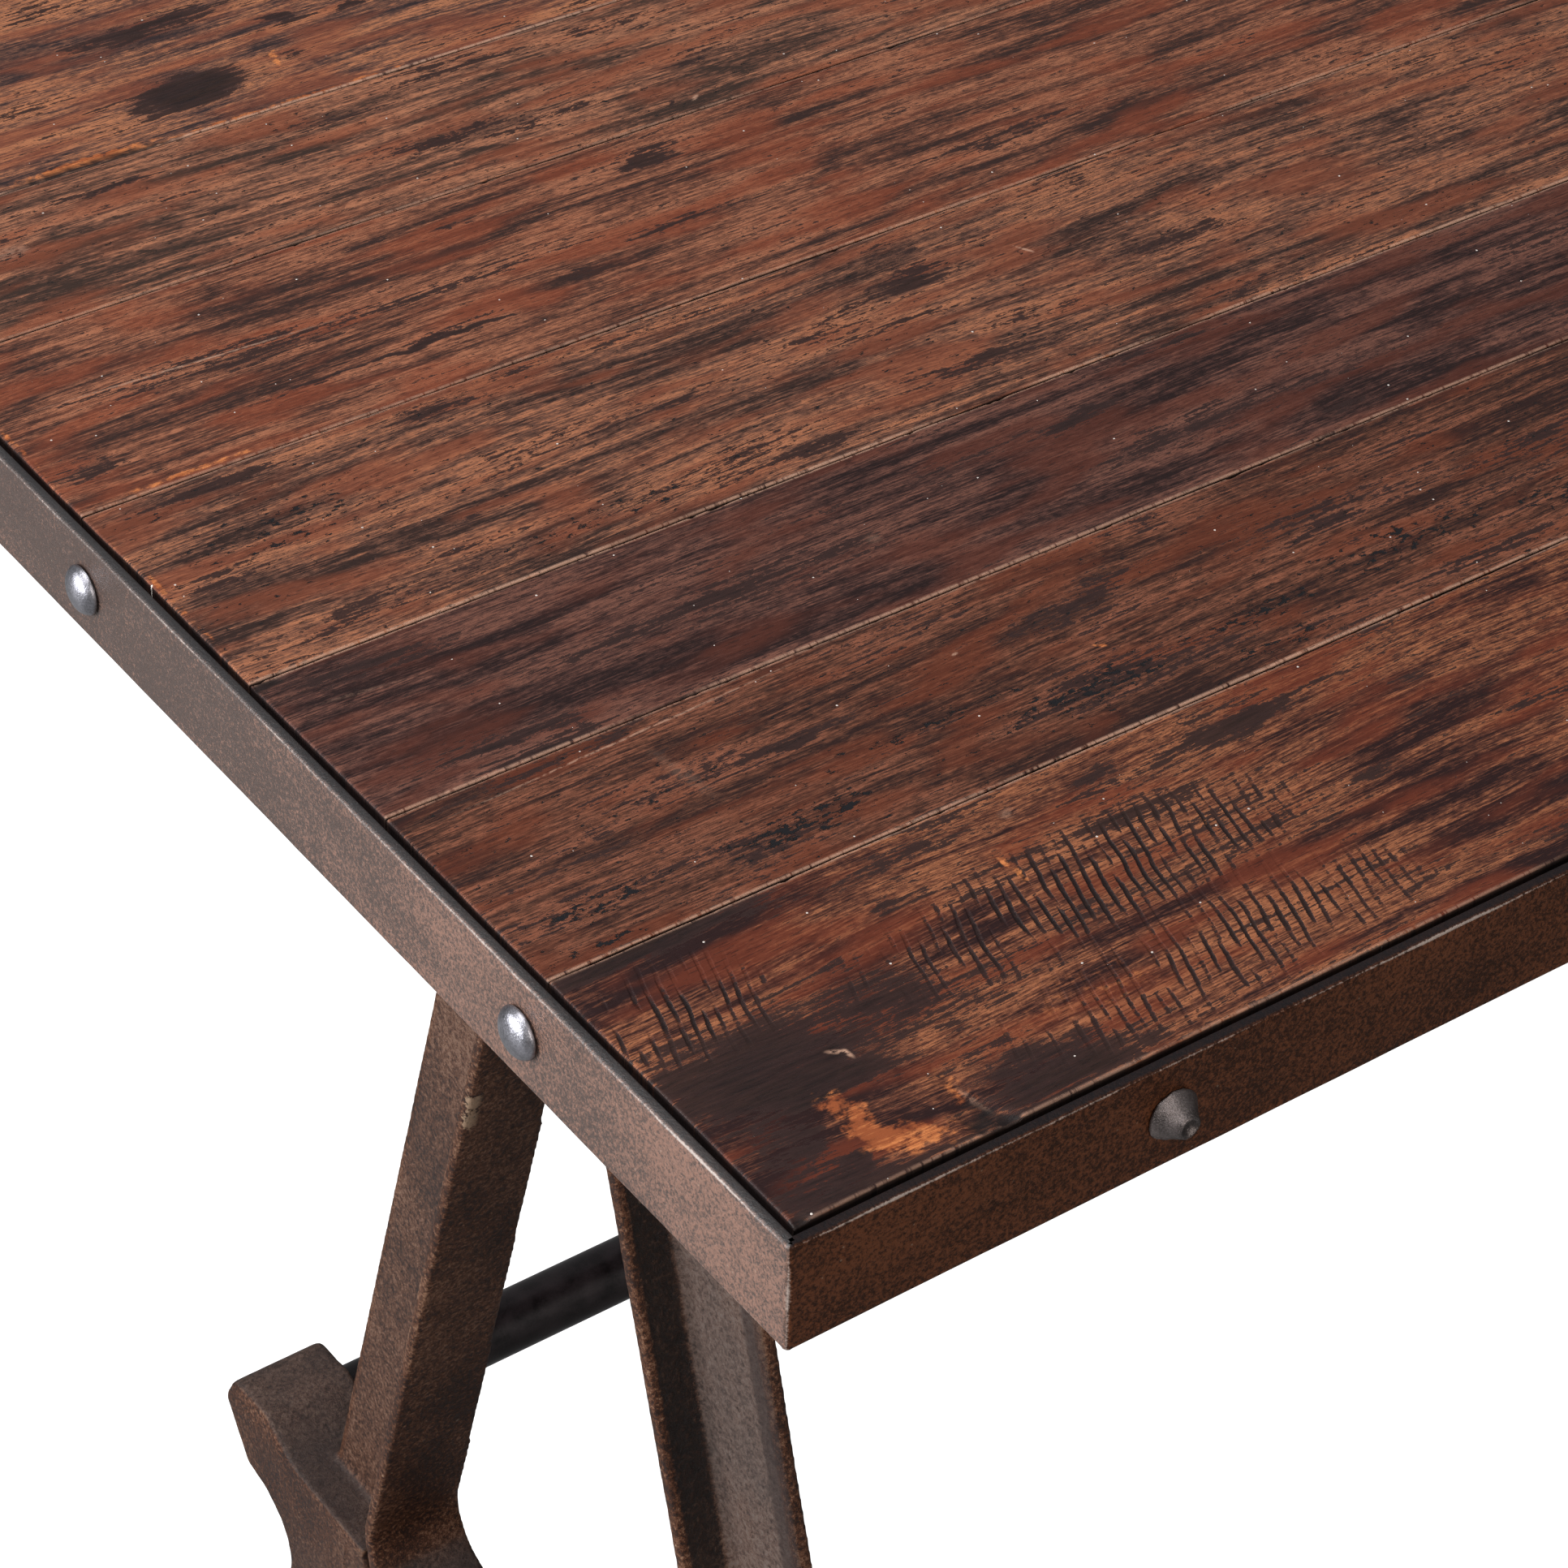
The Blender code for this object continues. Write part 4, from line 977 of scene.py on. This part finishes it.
# corner between lug, ledge and lower leg: (from the centre line, depth), and its reach along X
LUG_WEB = (
    (0.134, 0.5645), (0.186, 0.5645), (0.200, 0.588), (0.1910, 0.5930), (0.1832, 0.5995),
    (0.1788, 0.6075), (0.1772, 0.6160), (0.1776, 0.6230), (0.1780, 0.6340), (0.146, 0.6340),
)
LUG_WEB_REACH = (0.0007, 0.0250)


def add_lug_webs(mesh, outward):
    """Close the corner between each lug, the ledge and the lower leg, before the skin is grown."""
    face = abs(FRAME_FACE) - FOOT_OVERHANG
    grown = bmesh.new()
    grown.from_mesh(mesh)
    count = len(LUG_WEB)
    for side in (-1.0, 1.0):
        near, far = [
            [
                grown.verts.new((outward * (face - reach), side * u, BOARD_TOP - depth))
                for u, depth in LUG_WEB
            ]
            for reach in LUG_WEB_REACH
        ]
        faces = [grown.faces.new(near), grown.faces.new(far)]
        for i in range(count):
            j = (i + 1) % count
            faces.append(grown.faces.new((near[i], near[j], far[j], far[i])))
        bmesh.ops.recalc_face_normals(grown, faces=faces)
    grown.to_mesh(mesh)
    grown.free()


def rows_of(items, name, width, kind=float):
    """A mesh's own numbers as an array with a row for each item."""
    values = np.zeros(len(items) * width, kind)
    items.foreach_get(name, values)
    return values.reshape(-1, width)


def neighbours_mean(points, edges, counts):
    """For each point, the mean of the points that its edges lead to."""
    total = np.zeros_like(points)
    np.add.at(total, edges[:, 0], points[edges[:, 1]])
    np.add.at(total, edges[:, 1], points[edges[:, 0]])
    return total / counts


def build_end_frame(side, voxel, material):
    """The casting with soft arrises and a rough skin, grown over its CAD solid."""
    node = f"end_frame_{side}"
    source = add_object("cast_source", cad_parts[node].data.copy())
    add_lug_webs(source.data, -1.0 if side == "left" else 1.0)
    weld = source.modifiers.new("weld", "WELD")
    weld.merge_threshold = 0.01 * MM
    soften_edges(source, 1.3 * MM, 35.0)
    skin = source.modifiers.new("skin", "REMESH")
    skin.mode = "VOXEL"
    skin.voxel_size = voxel
    graph = bpy.context.evaluated_depsgraph_get()
    mesh = bpy.data.meshes.new_from_object(source.evaluated_get(graph))
    bpy.data.objects.remove(source, do_unlink=True)

    points = rows_of(mesh.vertices, "co", 3)
    normals = rows_of(mesh.vertices, "normal", 3)
    edges = rows_of(mesh.edges, "vertices", 2, int)
    counts = np.bincount(edges.ravel(), minlength=len(points)).reshape(-1, 1)
    for _ in range(4):
        points += 0.5 * (neighbours_mean(points, edges, counts) - points)

    # an edge is where a point stands clear of its neighbours' mean
    clear = points - neighbours_mean(points, edges, counts)
    bulge = (clear * normals).sum(1, keepdims=True) / voxel
    for _ in range(2):
        bulge = 0.4 * bulge + 0.6 * neighbours_mean(bulge, edges, counts)
    wear = np.clip((bulge - 0.03) / 0.07, 0.0, 1.0)
    # the channel on the outer side of each leg is coarser on its walls, which the shader also
    # darkens as painted shade, and dusty on its floor
    x, y, z = (points[:, k:k + 1] for k in range(3))
    depth_in = abs(FRAME_FACE) - FOOT_OVERHANG - np.abs(x)
    along_leg = LEG_INNER_DY + LEG_SLOPE * (BOARD_TOP - z - LEG_DEPTH)
    in_leg = np.abs(y) - along_leg
    between = step(in_leg, 2.5 * MM, 4.5 * MM)
    between *= 1.0 - step(in_leg, LEG_WIDTH - 4.5 * MM, LEG_WIDTH - 2.5 * MM)
    wall = 1.0 - step(np.abs(normals[:, 0:1]), 0.3, 0.7)
    coarse = between * wall * step(depth_in, 2.0 * MM, 4.0 * MM)
    coarse *= 1.0 - step(depth_in, 17.0 * MM, 19.0 * MM)
    coarse *= step(z, 0.245, 0.262)
    far_leg = step(y, 0.0, 1.0 * MM)
    dust = between * (1.0 - wall) * step(depth_in, 12.0 * MM, 14.0 * MM) * (1.0 - 0.75 * far_leg)
    ledge = step(normals[:, 2:3], 0.45, 0.85) * (1.0 - step(z, 0.30, 0.34))
    dust = np.maximum(dust, 0.80 * ledge)
    u, v, w = (points / MM).T
    blotch = layered(v * 0.12, u * 0.12 + w * 0.1, 21.0)[:, None]
    on_lug = step(np.abs(y), 0.165, 0.190)
    shade = ledge * (0.45 + 0.75 * blotch - 0.50 * on_lug)
    low_part = 0.20 + 0.45 * blotch + 0.40 * (1.0 - step(z, 0.150, 0.175))
    shade = np.maximum(shade, (1.0 - ledge) * low_part * (1.0 - step(z, 0.190, 0.200)))
    shade = np.clip(shade, 0.0, 1.0)
    outer_rim = step(in_leg, LEG_WIDTH - 11.0 * MM, LEG_WIDTH - 8.5 * MM) * (1.0 - far_leg)
    shade = np.maximum(shade, 0.9 * outer_rim * (1.0 - wall) * step(depth_in, 12.0 * MM, 14.0 * MM))
    # the lower legs' outer side is nearly flush where the crossbar ends
    flush = step(z, 0.060, 0.125) * (1.0 - step(z, 0.193, 0.201))
    shallow = flush * (1.0 - step(depth_in, 8.0 * MM, 14.0 * MM)) * 0.90
    shallow *= np.clip(depth_in, 0.0, LOWER_WEB_DEPTH)
    x += np.sign(x) * shallow       # moves the points themselves
    u, v, w = (points / MM).T
    lumps = layered(u * 0.12 + w * 0.05, v * 0.12, 3.0) * 0.25
    lumps += layered(u * 0.4, w * 0.4 + v * 0.3, 5.0) * 0.12
    rough = layered(w * 0.55, v * 0.55 + u * 0.55, 8.0) * 0.45 * coarse[:, 0]
    points -= normals * ((lumps + rough) * MM)[:, None]

    mesh.vertices.foreach_set("co", points.ravel())
    set_attributes(mesh, {"wear": wear, "coarse": coarse, "dust": dust, "shade": shade})
    mesh.materials.clear()
    mesh.materials.append(material)
    mesh.shade_smooth()
    stand_in(f"cast_{node}", mesh, [node])


# ---- CAD parts that stay
def finish_cad_parts():
    """Materials and softened edges for the cleat, its screws, the frame screws and the rod pins."""
    screw = metal_material("screw_steel", (0.230, 0.215, 0.205), 0.42, 1.0, 0.4, 0.00003, 0.4)
    pin = metal_material("pin_steel", (0.060, 0.050, 0.045), 0.45, 0.8, 0.4, 0.00004, 0.5)
    look = dict(BOARD_LOOKS[7], marks=(), stain=-0.08)
    cleat = wood_material(9, look, -100.0, 700.0)
    cleat.name = "cleat_wood"
    for node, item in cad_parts.items():
        if node.startswith(("frame_screw", "cleat_screw")):
            material, width = screw, 0.3 * MM
        elif node.startswith("rod_pin"):
            material, width = pin, 0.3 * MM
        elif node == "underside_cleat":
            material, width = cleat, 1.2 * MM
        else:
            continue
        for material_slot in item.material_slots:
            material_slot.material = material
        soften_edges(item, width, 40.0)


# ---- studio
def add_softbox(name, place, target, size, power, colour):
    data = bpy.data.lights.new(name, "AREA")
    data.shape = "RECTANGLE"
    data.size, data.size_y = size
    data.energy = power
    data.color = colour
    light = add_object(name, data)
    light.location = place
    light.rotation_euler = (Vector(target) - Vector(place)).to_track_quat("-Z", "Y").to_euler()


CAMERA_SEES_GLOW = 0.80         # share of the glow that whitens the floor to the camera
FLOOR_GLOW = 1.20
FLOOR_GREY = 0.26
FLOOR_HALF = 8.0                # half the side of the floor's square
WORLD_LIGHT = 0.22
AIM = (-0.3, 0.0, 0.6)
# name, place, size, watts, colour
SOFTBOXES = (
    ("key_left", (-2.5, 0.4, 1.30), (1.5, 1.3), 82.0, (0.96, 0.98, 1.0)),
    ("overhead_left", (-1.2, 0.1, 3.0), (1.6, 1.2), 50.0, (1.0, 1.0, 1.0)),
    ("front_fill", (-0.9, -3.2, 1.9), (1.6, 1.2), 52.0, (1.0, 0.93, 0.86)),
)


def floor_material():
    """Pale paper: white as the camera sees it, a middle grey for the light that it throws back."""
    material = bpy.data.materials.new("studio_floor")
    material.use_nodes = True
    nodes, links = material.node_tree.nodes, material.node_tree.links
    paper = nodes["Principled BSDF"]
    paper.inputs["Base Color"].default_value = (FLOOR_GREY, FLOOR_GREY, FLOOR_GREY, 1.0)
    paper.inputs["Roughness"].default_value = 0.9
    paper.inputs["Specular IOR Level"].default_value = 0.0
    glow = nodes.new("ShaderNodeEmission")
    glow.inputs["Strength"].default_value = FLOOR_GLOW
    seen = nodes.new("ShaderNodeMath")
    seen.operation = "MULTIPLY"
    seen.inputs[1].default_value = CAMERA_SEES_GLOW
    links.new(nodes.new("ShaderNodeLightPath").outputs["Is Camera Ray"], seen.inputs[0])
    blend = nodes.new("ShaderNodeAddShader")
    lit = nodes.new("ShaderNodeMixShader")
    links.new(seen.outputs[0], lit.inputs[0])
    links.new(paper.outputs[0], lit.inputs[1])
    links.new(blend.outputs[0], lit.inputs[2])
    links.new(paper.outputs[0], blend.inputs[0])
    links.new(glow.outputs[0], blend.inputs[1])
    links.new(lit.outputs[0], nodes["Material Output"].inputs["Surface"])
    return material


def build_studio():
    around = ((-1, -1), (1, -1), (1, 1), (-1, 1))
    corners = [(x * FLOOR_HALF, y * FLOOR_HALF, 0.0) for x, y in around]
    mesh = bpy.data.meshes.new("studio_floor")
    mesh.from_pydata(corners, [], [(0, 1, 2, 3)])
    mesh.materials.append(floor_material())
    floor = add_object("studio_floor", mesh)

    world = bpy.context.scene.world or bpy.data.worlds.new("studio")
    bpy.context.scene.world = world
    world.use_nodes = True
    background = world.node_tree.nodes["Background"]
    background.inputs["Color"].default_value = (0.97, 0.98, 1.0, 1.0)
    background.inputs["Strength"].default_value = WORLD_LIGHT
    for name, place, size, power, colour in SOFTBOXES:
        add_softbox(name, place, AIM, size, power, colour)
    bpy.context.scene.view_settings.view_transform = "Standard"
    bpy.context.scene.view_settings.look = "None"


add_camera()
for board in range(1, BOARDS + 1):
    build_board(board)
build_bands()
build_rivets()
build_rods()
iron = cast_material()
build_end_frame("left", 1.3 * MM, iron)
build_end_frame("right", 1.8 * MM, iron)
finish_cad_parts()
build_studio()
